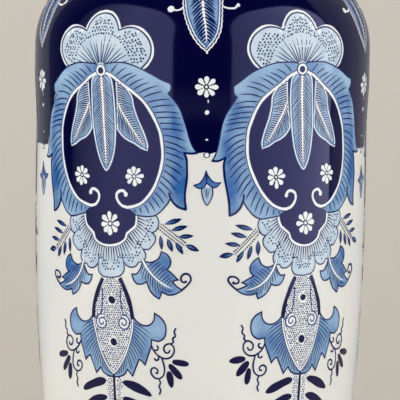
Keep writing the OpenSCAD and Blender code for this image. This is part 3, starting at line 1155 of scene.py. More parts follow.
        p.line(Coat.WHITE, mirrored(rib, side), 1.1, 5.4, Touch.FADE)
        curl = flow([(39, -112.2), (42, -109.6), (44, -106.6), (43.2, -104.1), (41.1, -103.4), (39.1, -104.7),
                     (38.9, -106.8), (40.4, -108), (41.6, -107.4)])
        p.line(Coat.NAVY, mirrored(curl, side), 1.05, 4.6)
        p.dot(Coat.NAVY, side * 41.3, -107.6, 0.8, 4.6)

    def paint_body(self) -> None:
        """Paints the dotted body under the apron, with its bands, studs and hooks."""
        p = self.painter
        half = np.vstack([[(0, -106)], self.body_band, self.body_rib[1:]])
        loop = whole(half[:-1])
        lobe = whole(self.lobes[:-1])

        def below_apron(places: np.ndarray) -> np.ndarray:
            """Keeps the dots off the apron, the studs and the hooks."""
            free = ~inside(places, lobe)
            for x, y, r in ((0, -119, 2.7), (0, -141, 2.8), (6.8, -130.8, 3.2), (-6.8, -130.8, 3.2)):
                free &= np.hypot(places[:, 0] - x, places[:, 1] - y) > r
            return free

        p.fill(Coat.WHITE, loop, 0.6, 3.0)
        p.stipple(Coat.NAVY, loop, 1.34, 0.46, 3, 1.2, below_apron)
        for y in (-119, -141):
            p.dot(Coat.GROUND, 0.3, y, 2.05, 4)
        for side in (1, -1):
            p.line(Coat.GROUND, mirrored(self.body_band, side), 2.3, 4)
            hook = np.vstack([flow([(5.6, -113), (5.6, -118), (6.2, -123), (7, -126.8)]),
                              spiral((6.8, -130.8), 4.3, 0.7, 90, -560)])
            p.line(Coat.BLUE, mirrored(hook, side), 0.7, 4)

    def paint_big_leaf(self, side: int) -> None:
        """Paints one of the two toothed leaves that clasp the body."""
        p = self.painter
        edge = chain([(12.6, -127.2), (15, -130), (18.5, -131.6), (22, -131), (24.4, -128.4), (25, -124.8)],
                     [(28, -126.6), (30.2, -129.6), (30.7, -133), (29.6, -137), (26.4, -139.2),
                      (22.5, -138.6)],
                     [(22.3, -142), (20.8, -146.2), (18.7, -152)],
                     [(16.8, -150), (15.3, -149.2)],
                     [(14.6, -151), (12.9, -154.6), (11.3, -158.2)],
                     [(9.6, -156.3), (8.3, -154.9)],
                     [(6.5, -157.6), (3.4, -159), (0, -159.4)])
        loop = np.vstack([edge, self.body_rib[::-1]])
        pools = pools_on(side, ([(20, -133.6), (25, -132), (27.6, -134)], -0.12, 3.2),
                         ([(19, -137.6), (27, -138.4)], 0.12, 1.8),
                         ([(19.6, -141.5), (18.8, -148.5)], 0.16, 2.4),
                         ([(10, -149), (4, -156.5)], -0.12, 2.6), ([(14, -131.5), (13, -140)], 0.14, 2.6))
        p.fill(Coat.MID, mirrored(loop, side), 2, 2.0, 0.52, pools)
        p.line(Coat.NAVY, mirrored(edge, side), 0.8, 4)
        how = Barbs(1.6, 0.56, (66, 58, 46, 34, 26), (11, 10.5, 9.5, 8, 4), 0.8, 1.2)
        barbs(p, Coat.NAVY, mirrored(self.body_rib, side), mirrored(loop, side), side, 4, how, 1.6)
        p.line(Coat.NAVY, mirrored(self.body_rib, side), 1.6, 4.4)
        p.line(Coat.WHITE, mirrored(self.body_rib, side), 0.85, 5.4)

    def paint_tendrils(self, side: int) -> None:
        """Paints the curling tendrils and brush leaves beside the big leaves."""
        p = self.painter
        lines = [[(22.2, -141.5), (24, -144.8), (26.5, -147), (29.5, -148.2), (32.6, -147.6), (34.6, -145),
                  (34.4, -142), (32.6, -140.4), (30.4, -140.8), (29.1, -142.8), (30, -145), (31.8, -145),
                  (32.3, -143.6)],
                 [(32.8, -140.4), (34.3, -139.4), (34, -137.6), (35.4, -136.2), (35, -133.8), (36, -132)],
                 [(24, -144), (25.6, -143.8), (26.1, -142.4), (25.2, -141.4)],
                 [(26.2, -147), (26.2, -148.8), (24.8, -149.2), (23.9, -148.2)],
                 [(28, -148), (29, -151), (29.4, -154.6), (28.4, -157.4), (26, -158.9), (23.4, -158.2),
                  (21.9, -156), (22.2, -154), (24, -153.2), (25.6, -154.4), (25.4, -156), (24.2, -155.8)],
                 [(26.2, -159), (26.8, -161.2), (26, -163), (26.8, -165), (26, -167.3)]]
        for path in lines:
            p.line(Coat.NAVY, mirrored(flow(path, 0.5), side), 0.95, 3)
        for first, last, width in (((33.6, -149.7), (42.6, -151.2), 3.5), ((31.9, -151.2), (38.6, -159), 3.7),
                                   ((31.6, -154.8), (33, -163.6), 3.5)):
            p.line(Coat.GROUND, mirrored([first, last], side), width, 3, Touch.DROP)

    def paint_stem(self) -> None:
        """Paints the pendant stem with its dotted blocks and pairs of brush leaves."""
        p = self.painter
        p.line(Coat.GROUND, [(0, -157.5), (0, -170), (0, -200), (0, self.stem_end)], 1.5, 4, Touch.FADE)
        pairs = np.arange(-161.8, self.stem_end + 9, -self.leaf_step)
        for side in (1, -1):
            block = np.array([(1.2, -159), (4.9, -159), (2.6, -226), (1.2, -226)])
            p.fill(Coat.WHITE, mirrored(block, side), 0.6, 3.0)
            p.stipple(Coat.NAVY, mirrored(block, side), 1.34, 0.44, 3, 0.2)
            for k, y in enumerate(pairs):
                size = 1 - 0.085 * k
                leaf = np.array([(5.2, y), (9, y - 0.8), (14, y - 2.6), (18.5, y - 4.6), (21.6, y - 6.3)])
                leaf[:, 0] = 5.2 - 0.25 * k + (leaf[:, 0] - 5.2) * size
                leaf[:, 1] = y + (leaf[:, 1] - y) * size
                p.line(Coat.GROUND, mirrored(flow(leaf), side), 4.6 * size, 4, Touch.DROP)
        p.dot(Coat.GROUND, 0, self.stem_end - 3, 1.2, 4)
        p.dot(Coat.GROUND, 0, self.stem_end - 7, 0.8, 4)


# ---- Between the panels ----
@dataclass
class Between:
    """The dark ground between two panels, and the feather, flower and bud painted on it."""

    painter: Painter
    hand: Hand
    neck_y: float = 72.5
    ground_foot: float = -42.0
    feather_tip: float = 11.4

    def paint(self) -> None:
        """Paints the ground and then all that is on it."""
        p = self.painter
        p.take(self.hand)
        half_pitch = math.radians(PITCH / 2) * UNROLL_R
        side = [(half_pitch, self.neck_y), (half_pitch, -2), (22, -6), (18.9, -16), (13.9, -27), (10.9, -38),
                (9.9, -41.6)]
        self.ground(side)
        self.paint_feather()
        self.paint_drops()
        self.paint_bud()

    def ground(self, half: Path) -> None:
        """Lays the dark ground, straight at the seams so that the sectors meet.

        Args:
            half: Its right half's outline from the neck down.
        """
        p = self.painter
        centre = math.radians(self.hand.turn) * UNROLL_R
        low = [(x, self.ground_foot + 0.5 * math.sin(x)) for x in np.linspace(half[-1][0], -half[-1][0], 9)]
        loop = np.array([*half[:-1], *low, *[(-x, y) for x, y in reversed(half[:-1])]])
        loop[:, 0] += centre
        p.films[Coat.GROUND].patch(subdivided(closed(loop), 2.6)[:-1], 0, 2.7)

    def paint_feather(self) -> None:
        """Paints the feather that hangs from the neck, with a curl at each side."""
        p = self.painter
        right = [(3.2, 71), (6, 66), (9, 58), (10.4, 50), (10.4, 42), (9.9, 33), (9.2, 25.5), (8, 20.2),
                 (6.5, 17), (4.5, 14.2), (2, self.feather_tip)]
        left = [(0, 13), (-2.5, 15.7), (-4.8, 19.2), (-6.9, 24), (-8.3, 28), (-9.4, 33), (-10.3, 41),
                (-10.4, 50), (-9, 58), (-6, 66), (-3.2, 71)]
        loop = np.vstack([flow(right), flow([right[-1], *left])[1:]])
        rib = flow([(0, 70), (0, 52), (0, 40), (0.7, 30), (1.5, 24), (2, 15.4)])
        edge = scalloped(closed(loop), 0.5, 2.8)
        p.line(Coat.WHITE, offset(edge, 0.5), 0.85, 1)
        p.line(Coat.NAVY, offset(edge, -0.05), 0.5, 3.6)
        Feather(loop, rib, rib, 1.7, 1.95, (46.0, 46.0), 2.0, 0.5, 1.2, 0.48, Touch.FADE).paint(p)
        for side, path, blob in ((1, [(10.3, 35), (12.5, 33.7), (15, 33.2), (18, 33.6), (19.4, 35.2)], 1.2),
                                 (-1, [(-10.5, 33.6), (-12.2, 32), (-14.4, 31.6), (-16.8, 32.2)], 1.7)):
            p.line(Coat.WHITE, flow(path), 1.0, 2, Touch.EVEN)
            p.dot(Coat.WHITE, path[-1][0] + 0.4 * side, path[-1][1], blob, 2)
            curl = mirrored([(11.5, 44), (14.5, 46), (16.5, 44), (15.5, 41.5)], side)
            p.line(Coat.WHITE, flow(curl), 0.8, 2, Touch.FADE)

    def paint_drops(self) -> None:
        """Paints the flower and the row of white touches below the feather."""
        p = self.painter
        p.dot(Coat.WHITE, 2.2, 9.6, 0.6, 2)
        p.flower(2, -8, 5.9, 2, 88)
        p.line(Coat.WHITE, [(3, -14.6), (3, -16.2)], 0.5, 2)
        p.dot(Coat.WHITE, 2.6, -21.2, 1.15, 2)
        p.dot(Coat.WHITE, 2.8, -35.4, 0.85, 2, 0.6)
        p.dot(Coat.NAVY, 2.7, -43.3, 1.75, 2)
        p.dot(Coat.WHITE, 2.7, -43.3, 1.15, 3)

    def paint_bud(self) -> None:
        """Paints the small hanging bud on the white below the ground."""
        p = self.painter
        head = chain([(2.5, -51.3), (3, -53), (4.2, -55), (6, -56.9), (7.6, -57.6), (10, -57.5)],
                     [(8.5, -59.4), (6.5, -60.1), (5, -59.4), (2.9, -57.6)],
                     [(1.4, -59.9), (-0.2, -60.5), (-2.2, -60), (-3.6, -58.7)],
                     [(-1, -57.9), (0.6, -56.2), (1.7, -54), (2.4, -51.6)])
        tail = flow([(0.4, -59.8), (0.3, -62), (1.1, -66), (3, -69), (5, -66.2), (6, -63), (5.6, -59.8)])
        p.fill(Coat.PALE, tail, 1)
        p.line(Coat.NAVY, tail, 0.6, 3)
        p.line(Coat.NAVY, [(2.9, -60.5), (3, -66)], 0.5, 3, Touch.FADE)
        for x in (1.7, 4.3):
            p.line(Coat.NAVY, [(x, -60.5), (0.4 * x + 1.8, -64.6)], 0.35, 3, Touch.FADE)
        p.fill(Coat.DEEP, head, 2)
        p.line(Coat.NAVY, closed(head), 0.6, 3)
        p.line(Coat.NAVY, flow([(2.6, -53), (2.8, -55.6), (2.9, -57.4)]), 0.8, 3, Touch.FADE)


# ---- Rings, neck and foot ----
@dataclass
class Borders:
    """The ring lines, the painted neck and lip, and the leaves and band round the foot."""

    painter: Painter
    face: Unrolled
    neck_y: float = 74.0
    upper_ring_y: float = -249.0
    band_top_y: float = -305.0
    leaves: int = 20
    neck_leaves: int = 16
    band_dots: int = 60

    def paint(self) -> None:
        """Paints all the borders."""
        self.painter.take(Hand(0.0, wobble=0.12, seed=60))
        self.paint_neck()
        self.paint_foot()

    def ring(self, coat: Coat, y: float, width: float, level: float) -> None:
        """Paints a line right round the vase at y."""
        half = math.pi * UNROLL_R
        turns = np.linspace(-half, half, 181)
        line = np.stack([turns, y + 0.15 * np.sin(turns * 5 / UNROLL_R + y)], axis=1)
        self.painter.films[coat].ribbon(line, np.full(len(line), width), level)

    def band(self, coat: Coat, low: float, high: float, level: float) -> None:
        """Paints a broad band as overlapping rings, so that it follows the vase's curve."""
        count = max(2, math.ceil((high - low) / 1.6))
        for y in np.linspace(low, high, count + 1):
            self.ring(coat, float(y), (high - low) / count * 1.12, level)

    @staticmethod
    def around(count: int) -> tuple[np.ndarray, float]:
        """The middles of evenly spaced places right round the vase, and their spacing."""
        pitch = 2 * math.pi * UNROLL_R / count
        return (np.arange(count) + 0.5) * pitch - math.pi * UNROLL_R, pitch

    def paint_neck(self) -> None:
        """Paints the white ring at the neck's root, its upright leaves and the bands at the lip."""
        p = self.painter
        self.ring(Coat.WHITE, self.neck_y - 1, 1.5, 2)
        self.ring(Coat.NAVY, self.neck_y + 1.2, 0.9, 2)
        top = self.face.at_height(431.0)
        middles, pitch = self.around(self.neck_leaves)
        for x in middles:
            half = flow([(0, self.neck_y + 31), (4.2, self.neck_y + 26), (7.4, self.neck_y + 19),
                         (9.6, self.neck_y + 11), (11.8, self.neck_y + 3)])
            p.fill(Coat.MID, whole(half) + np.array([x, 0]), 1, 1.8)
            for side in (1, -1):
                p.line(Coat.NAVY, mirrored(half, side) + np.array([x, 0]), 0.9, 3)
            p.line(Coat.WHITE, [(x, self.neck_y + 3), (x, self.neck_y + 15), (x, self.neck_y + 27)], 1.3, 3,
                   Touch.FADE)
            for side in (1, -1):
                for lift in range(4, 22, 3):
                    y = self.neck_y + lift
                    p.line(Coat.NAVY, [(x + side * 1.2, y), (x + side * (7.4 - 0.22 * lift), y + 3.2)],
                           0.6, 3, Touch.FADE)
            p.dot(Coat.NAVY, x + pitch / 2, self.neck_y + 27, 1.5, 2)
            p.dot(Coat.NAVY, x + pitch / 2, self.neck_y + 31.5, 0.9, 2)
        self.ring(Coat.NAVY, top - 7, 0.5, 2)
        self.band(Coat.GROUND, top - 4.2, top + 1.6, 1)
        self.ring(Coat.WHITE, top - 1.4, 0.6, 3)

    def paint_foot(self) -> None:
        """Paints the double ring, the upright leaves and the dotted dark band near the foot."""
        p = self.painter
        self.ring(Coat.NAVY, self.upper_ring_y, 1.3, 2)
        self.ring(Coat.BLUE, self.upper_ring_y - 2.6, 0.5, 2)
        middles, pitch = self.around(self.leaves)
        foot, tip = self.band_top_y + 3, self.upper_ring_y - 7
        for x in middles:
            half = flow([(0, tip), (4.4, tip - 6.5), (8.2, tip - 15), (10.4, tip - 26), (11, foot)])
            p.fill(Coat.PALE, whole(half) + np.array([x, 0]), 1, 3.2)
            inner = np.array([(a * 0.62, tip - 7 + (b - tip) * 0.84) for a, b in half])
            p.fill(Coat.MID, whole(inner) + np.array([x, 0]), 2, 3.2)
            for side in (1, -1):
                p.line(Coat.NAVY, mirrored(half, side) + np.array([x, 0]), 0.8, 3)
                p.line(Coat.BLUE, mirrored(inner, side) + np.array([x, 0]), 0.45, 3)
                for drop in range(12, 42, 3):
                    y = tip - drop
                    p.line(Coat.NAVY, [(x + side * 0.9, y), (x + side * (1.4 + 0.1 * drop), y + 2.6)],
                           0.45, 3, Touch.FADE)
            p.line(Coat.WHITE, [(x, foot + 1), (x, foot + 15), (x, tip - 9)], 1.0, 3.2, Touch.FADE)
            p.dot(Coat.NAVY, x + pitch / 2, tip - 2.5, 1.3, 2)
            p.line(Coat.NAVY, [(x + pitch / 2, tip - 6), (x + pitch / 2, tip - 13)], 1.3, 2, Touch.LENS)
        self.ring(Coat.NAVY, self.band_top_y + 3, 1.0, 3)
        low = self.face.at_height(14.0)
        self.band(Coat.GROUND, low, self.band_top_y, 1)
        middle = (low + self.band_top_y) / 2
        for x in self.around(self.band_dots)[0]:
            p.dot(Coat.WHITE, x, middle, 1.35, 2.5)
        self.ring(Coat.WHITE, self.band_top_y - 1.6, 0.5, 2.5)
        self.ring(Coat.WHITE, low + 1.8, 0.5, 2.5)
        self.ring(Coat.NAVY, self.face.at_height(9.6), 0.7, 2)


# ---- Finishes ----
Colour = tuple[float, float, float]


def linear(red: int, green: int, blue: int) -> Colour:
    """Scene colour of an 8-bit screen colour."""
    shares = (channel / 255 for channel in (red, green, blue))
    return tuple(((c + 0.055) / 1.055) ** 2.4 if c > 0.04 else c / 12.92 for c in shares)


@dataclass(frozen=True)
class Finish:
    """A glossy finish: its colour, how it drifts from place to place, and how its gloss ripples."""

    name: str
    colour: Colour
    drift: Colour | None = None
    drift_scale: float = 60.0
    wash: bool = False
    gloss: float = 1.38
    sheen_tint: Colour = (1.0, 1.0, 1.0)
    roughness: float = 0.1
    ripple: float = 0.0
    ripple_scale: float = 240.0
    grit: float = 0.0

    def make(self) -> bpy.types.Material:
        """Builds the finish as a material.

        Returns:
            The material.
        """
        mat = bpy.data.materials.new(self.name)
        mat.use_nodes = True
        nodes, links = mat.node_tree.nodes, mat.node_tree.links
        shader = nodes["Principled BSDF"]
        shader.inputs["Base Color"].default_value = (*self.colour, 1)
        shader.inputs["Roughness"].default_value = self.roughness
        shader.inputs["IOR"].default_value = self.gloss
        shader.inputs["Specular Tint"].default_value = (*self.sheen_tint, 1)
        place = nodes.new("ShaderNodeTexCoord")
        if self.drift is not None:
            noise = self.noise(nodes, links, place, self.drift_scale, 3)
            ramp = nodes.new("ShaderNodeMix")
            ramp.data_type = "RGBA"
            ramp.inputs["A"].default_value = (*self.colour, 1)
            ramp.inputs["B"].default_value = (*self.drift, 1)
            spread = nodes.new("ShaderNodeMapRange")
            spread.inputs["From Min"].default_value = 0.36
            spread.inputs["From Max"].default_value = 0.64
            links.new(noise.outputs["Fac"], spread.inputs["Value"])
            depth = spread.outputs["Result"]
            if self.wash:
                spread.inputs["To Min"].default_value = -0.16
                spread.inputs["To Max"].default_value = 0.16
                tone, total = nodes.new("ShaderNodeAttribute"), nodes.new("ShaderNodeMath")
                tone.attribute_name = "tone"
                total.use_clamp = True
                links.new(tone.outputs["Fac"], total.inputs[0])
                links.new(depth, total.inputs[1])
                depth = total.outputs["Value"]
            links.new(depth, ramp.inputs["Factor"])
            links.new(ramp.outputs["Result"], shader.inputs["Base Color"])
        if self.ripple or self.grit:
            bump = nodes.new("ShaderNodeBump")
            bump.inputs["Strength"].default_value = 1.0
            bump.inputs["Distance"].default_value = (self.ripple or self.grit) * MM
            wave = self.noise(nodes, links, place, self.ripple_scale, 2 if self.ripple else 8)
            links.new(wave.outputs["Fac"], bump.inputs["Height"])
            links.new(bump.outputs["Normal"], shader.inputs["Normal"])
        return mat

    @staticmethod
    def noise(nodes: bpy.types.Nodes, links: bpy.types.NodeLinks, place: bpy.types.Node, scale: float,
              detail: float) -> bpy.types.Node:
        """Adds a noise that is fixed to the object.

        Args:
            nodes: The material's nodes.
            links: Its links.
            place: The node that gives the place.
            scale: The noise's scale per metre.
            detail: How many finer noises are added to it.

        Returns:
            The noise node.
        """
        noise = nodes.new("ShaderNodeTexNoise")
        noise.inputs["Scale"].default_value = scale
        noise.inputs["Detail"].default_value = detail
        links.new(place.outputs["Object"], noise.inputs["Vector"])
        return noise


RIPPLE = {"ripple": 0.004, "ripple_scale": 130.0}
TIN_GLAZE = Finish("tin_white_glaze", linear(236, 236, 230), linear(232, 233, 229), 14.0, **RIPPLE)
INSIDE_GLAZE = Finish("inside_tin_glaze", linear(231, 228, 219), linear(223, 221, 211), 22.0,
                      roughness=0.12, ripple=0.01, ripple_scale=160.0)
THIN_GLAZE = Finish("thin_underside_glaze", linear(222, 214, 198), linear(205, 194, 174), 60.0,
                    roughness=0.22, ripple=0.02, ripple_scale=220.0)
BARE_CLAY = Finish("bare_fired_clay", linear(198, 164, 126), linear(176, 138, 100), 90.0,
                   roughness=0.85, ripple_scale=1400.0, grit=0.12)
BODY_CLAY = Finish("fired_clay", linear(206, 176, 142), linear(190, 156, 120), 70.0,
                   roughness=0.8, ripple_scale=1200.0, grit=0.12)
PAINTS = {
    Coat.GROUND: (Finish("dark_blue_glaze", linear(2, 2, 50), gloss=1.6, sheen_tint=(0.42, 0.43, 0.95),
                         roughness=0.08, **RIPPLE), "dark_blue_glaze"),
    Coat.WHITE: (Finish("white_reserve_glaze", linear(244, 247, 249), **RIPPLE), "white_line_glaze"),
    Coat.PALE: (Finish("pale_wash_glaze", linear(208, 223, 235), linear(110, 156, 204), 90.0, True),
                "pale_wash_glaze"),
    Coat.MID: (Finish("mid_wash_glaze", linear(172, 204, 230), linear(50, 104, 172), 80.0, True),
               "mid_wash_glaze"),
    Coat.DEEP: (Finish("deep_wash_glaze", linear(92, 138, 194), linear(34, 74, 148), 90.0, True),
                "deep_wash_glaze"),
    Coat.NAVY: (Finish("blue_line_glaze", linear(6, 30, 92), **RIPPLE), "blue_line_glaze"),
    Coat.BLUE: (Finish("brush_blue_glaze", linear(24, 68, 136), **RIPPLE), "blue_line_glaze"),
}


# ---- The vase ----
@dataclass
class Vase:
    """The vase's coats of glaze, and the painting on them."""

    form: VaseForm = field(default_factory=VaseForm)
    turns: int = 360
    step: float = 4.0
    fine: float = 1.2
    inside_turns: int = 180
    inside_step: float = 6.0
    inside_fine: float = 2.0

    def spun(self, name: str, line: list[Point], turns: int) -> bpy.types.Object:
        """Spins a coat from its line: one point is drawn along it and turned about the axis.

        Args:
            name: The piece's name.
            line: The line, as radii and heights in millimetres.
            turns: The number of steps round.

        Returns:
            The closed coat.
        """
        bpy.ops.object.select_all(action="DESELECT")
        bpy.ops.mesh.primitive_plane_add(size=2 * MM)
        ob = bpy.context.object
        ob.name = ob.data.name = name
        bpy.ops.object.mode_set(mode="EDIT")
        bpy.ops.mesh.select_all(action="SELECT")
        bpy.ops.mesh.merge(type="CENTER")
        bpy.ops.transform.translate(value=(line[0][0] * MM, 0, line[0][1] * MM))
        for (r0, z0), (r1, z1) in zip(line[:-1], line[1:]):
            bpy.ops.mesh.extrude_region_move(
                TRANSFORM_OT_translate={"value": ((r1 - r0) * MM, 0, (z1 - z0) * MM)})
        bpy.ops.mesh.select_all(action="SELECT")
        bpy.ops.mesh.spin(steps=turns, angle=2 * math.pi, center=(0, 0, 0), axis=(0, 0, 1))
        bpy.ops.mesh.select_all(action="SELECT")
        bpy.ops.mesh.remove_doubles(threshold=0.01 * MM)
        bpy.ops.mesh.normals_make_consistent(inside=False)
        bpy.ops.object.mode_set(mode="OBJECT")
        bpy.ops.object.shade_smooth_by_angle(angle=math.radians(50))
        return ob

    def outer_coat(self) -> bpy.types.Object:
        """Spins the outer coat, with its buried side half a millimetre in."""
        f = self.form
        face = f.outer_line(self.step, self.fine)
        under = f.foot_line(f.glaze, 1.6)
        under += f.body_line(f.cove_z, f.shoulder_z, f.glaze, 20.0)[1:] + f.shoulder_line(f.glaze, 5.0)[1:]
        under += f.neck_line(f.glaze, f.lip_r - f.glaze, 4.0)
        crown = f.lip_c[1] + f.lip_r
        back = [(f.lip_c[0], crown - f.glaze), *reversed(under)]
        return self.spun("painted_outer_glaze", face + back + [face[0]], self.turns)

    def inner_coat(self) -> bpy.types.Object:
        """Spins the inner coat, with its buried side half a millimetre in."""
        f = self.form
        face = f.inner_line(self.inside_step, self.inside_fine)
        deep = f.clay + f.glaze
        crown = (f.lip_c[0], f.lip_c[1] + f.lip_r - f.glaze)
        wall = f.body_line(f.floor_z + f.floor_round, f.shoulder_z, deep, 20.0)
        wall += f.shoulder_line(deep, 6.0)[1:] + f.neck_line(deep, f.lip_r - f.glaze, 4.0)
        centre = (wall[0][0] - f.floor_round, f.floor_z + f.floor_round)
        floor = [(0.0, f.floor_z)] + arc(centre, f.floor_round, -90, 0, 4.0)[:-1]
        back = [crown] + wall[::-1] + floor[::-1]
        return self.spun("inside_glaze_coat", face + back[:-1] + [(0.0, f.floor_z)], self.inside_turns)

    def hands(self) -> tuple[list[Hand], list[Hand]]:
        """Places the panels and what lies between them, each with its own stray of the hand."""
        droop = (Nudge(-44, -12, 1.0, -4.6, 13), Nudge(-50, -42, 0, -5.2, 10), Nudge(-47, -66, 0, -4.6, 13),
                 Nudge(-31, -100, 1.5, -4.6, 15), Nudge(-44, -88, 0, -4.6, 12))
        left_lean = ((10, 0.3), (-10, 1.2), (-30, 2.6), (-50, 4.0), (-70, 5.6), (-80, 6.5), (-110, 7.4),
                     (-140, 8.4), (-230, 9.0))
        right_lean = ((10, -0.8), (-15, 0), (-38, 1.3), (-60, 2.8), (-79, 4.0), (-118, 3.6), (-140, 4.2),
                      (-165, 4.6), (-230, 4.8))
        slight = ((10, 0), (-80, 1.0), (-230, 1.6))
        lower = (Nudge(-31, -79, 0, -2.6, 10), Nudge(-29, -69, 0, -1.8, 7))
        uneven = (*droop, *lower, Nudge(-14, -68, 0, -1.9, 9), Nudge(13, -67, 0, -1.1, 8),
                  Nudge(0, -88, 0, -1.0, 9), Nudge(48, -42, 0, -2.6, 11), Nudge(44, -66, 0, -2.0, 11),
                  Nudge(38, -84, 0, -1.9, 11), Nudge(29, -104, 0, -1.3, 12))
        panels = [Hand(-36.0, -0.9, left_lean, (*droop, *lower), 0.3, 11),
                  Hand(35.3, 0.9, right_lean, uneven, 0.3, 12), Hand(110.6, 0.4, slight, droop, 0.4, 13),
                  Hand(180, -0.6, slight, (), 0.4, 14), Hand(-110.6, 0.2, slight, droop, 0.4, 15)]
        betweens = [Hand(turn, 0, ((60, -0.3), (10, 0), (-60, 0.3)), (), 0.2, 21 + k)
                    for k, turn in enumerate((0, 72, 144, -144, -72))]
        return panels, betweens

    def build(self) -> None:
        """Builds the coats and the painting, and dresses them."""
        outer, inner = self.outer_coat(), self.inner_coat()
        for ob, node, finish, slot in ((outer, "outer_glaze", TIN_GLAZE, "white_glaze"),
                                       (inner, "inner_glaze", INSIDE_GLAZE, "inside_glaze")):
            ob.data.materials.append(finish.make())
            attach(ob, "root")
            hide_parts(node)
            log.info("%s: %d faces", ob.name, len(ob.data.polygons))
        face = Unrolled(self.form)
        painter = Painter(face)
        panels, betweens = self.hands()
        for hand in betweens:
            Between(painter, hand).paint()
        for hand in panels:
            Panel(painter, hand).paint()
        Borders(painter, face).paint()
        for coat, film in painter.films.items():
            if not film.faces:
                continue
            finish, slot = PAINTS[coat]
            ob = film.piece(coat.value)
            ob.data.materials.append(finish.make())
            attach(ob, "root")
            log.info("%s: %d triangles", ob.name, sum(len(f) - 2 for f in film.faces))

    def dress_clay(self) -> None:
        """Gives the clay and the thin coat under the foot their finishes."""
        clays = {"foot_ring": BARE_CLAY, "lower_body": BODY_CLAY, "upper_body": BODY_CLAY, "neck": BODY_CLAY,
                 "underside_glaze": THIN_GLAZE}
        for node, finish in clays.items():
            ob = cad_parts[node]
            ob.data.materials.clear()
            ob.data.materials.append(finish.make())
            log.info("%s: dressed in %s", node, finish.name)


# ---- The studio ----
@dataclass(frozen=True)
class SoftLight:
    """A tall glowing sheet beside the vase, between two angles from the front in degrees.

    Its side is 1 for the right and -1 for the left. It is evenly bright over a share of its width
    from its near edge, and then changes to its far glow.
    """

    side: int
    near: float
    far: float
    near_glow: float
    far_glow: float
    even: float = 0.0


@dataclass(frozen=True)
class BounceLight:
    """An even light such as comes back from a room's walls: its place, its size and its glow."""

    name: str
    place: tuple[float, float, float]
    size: tuple[float, float]
    glow: float


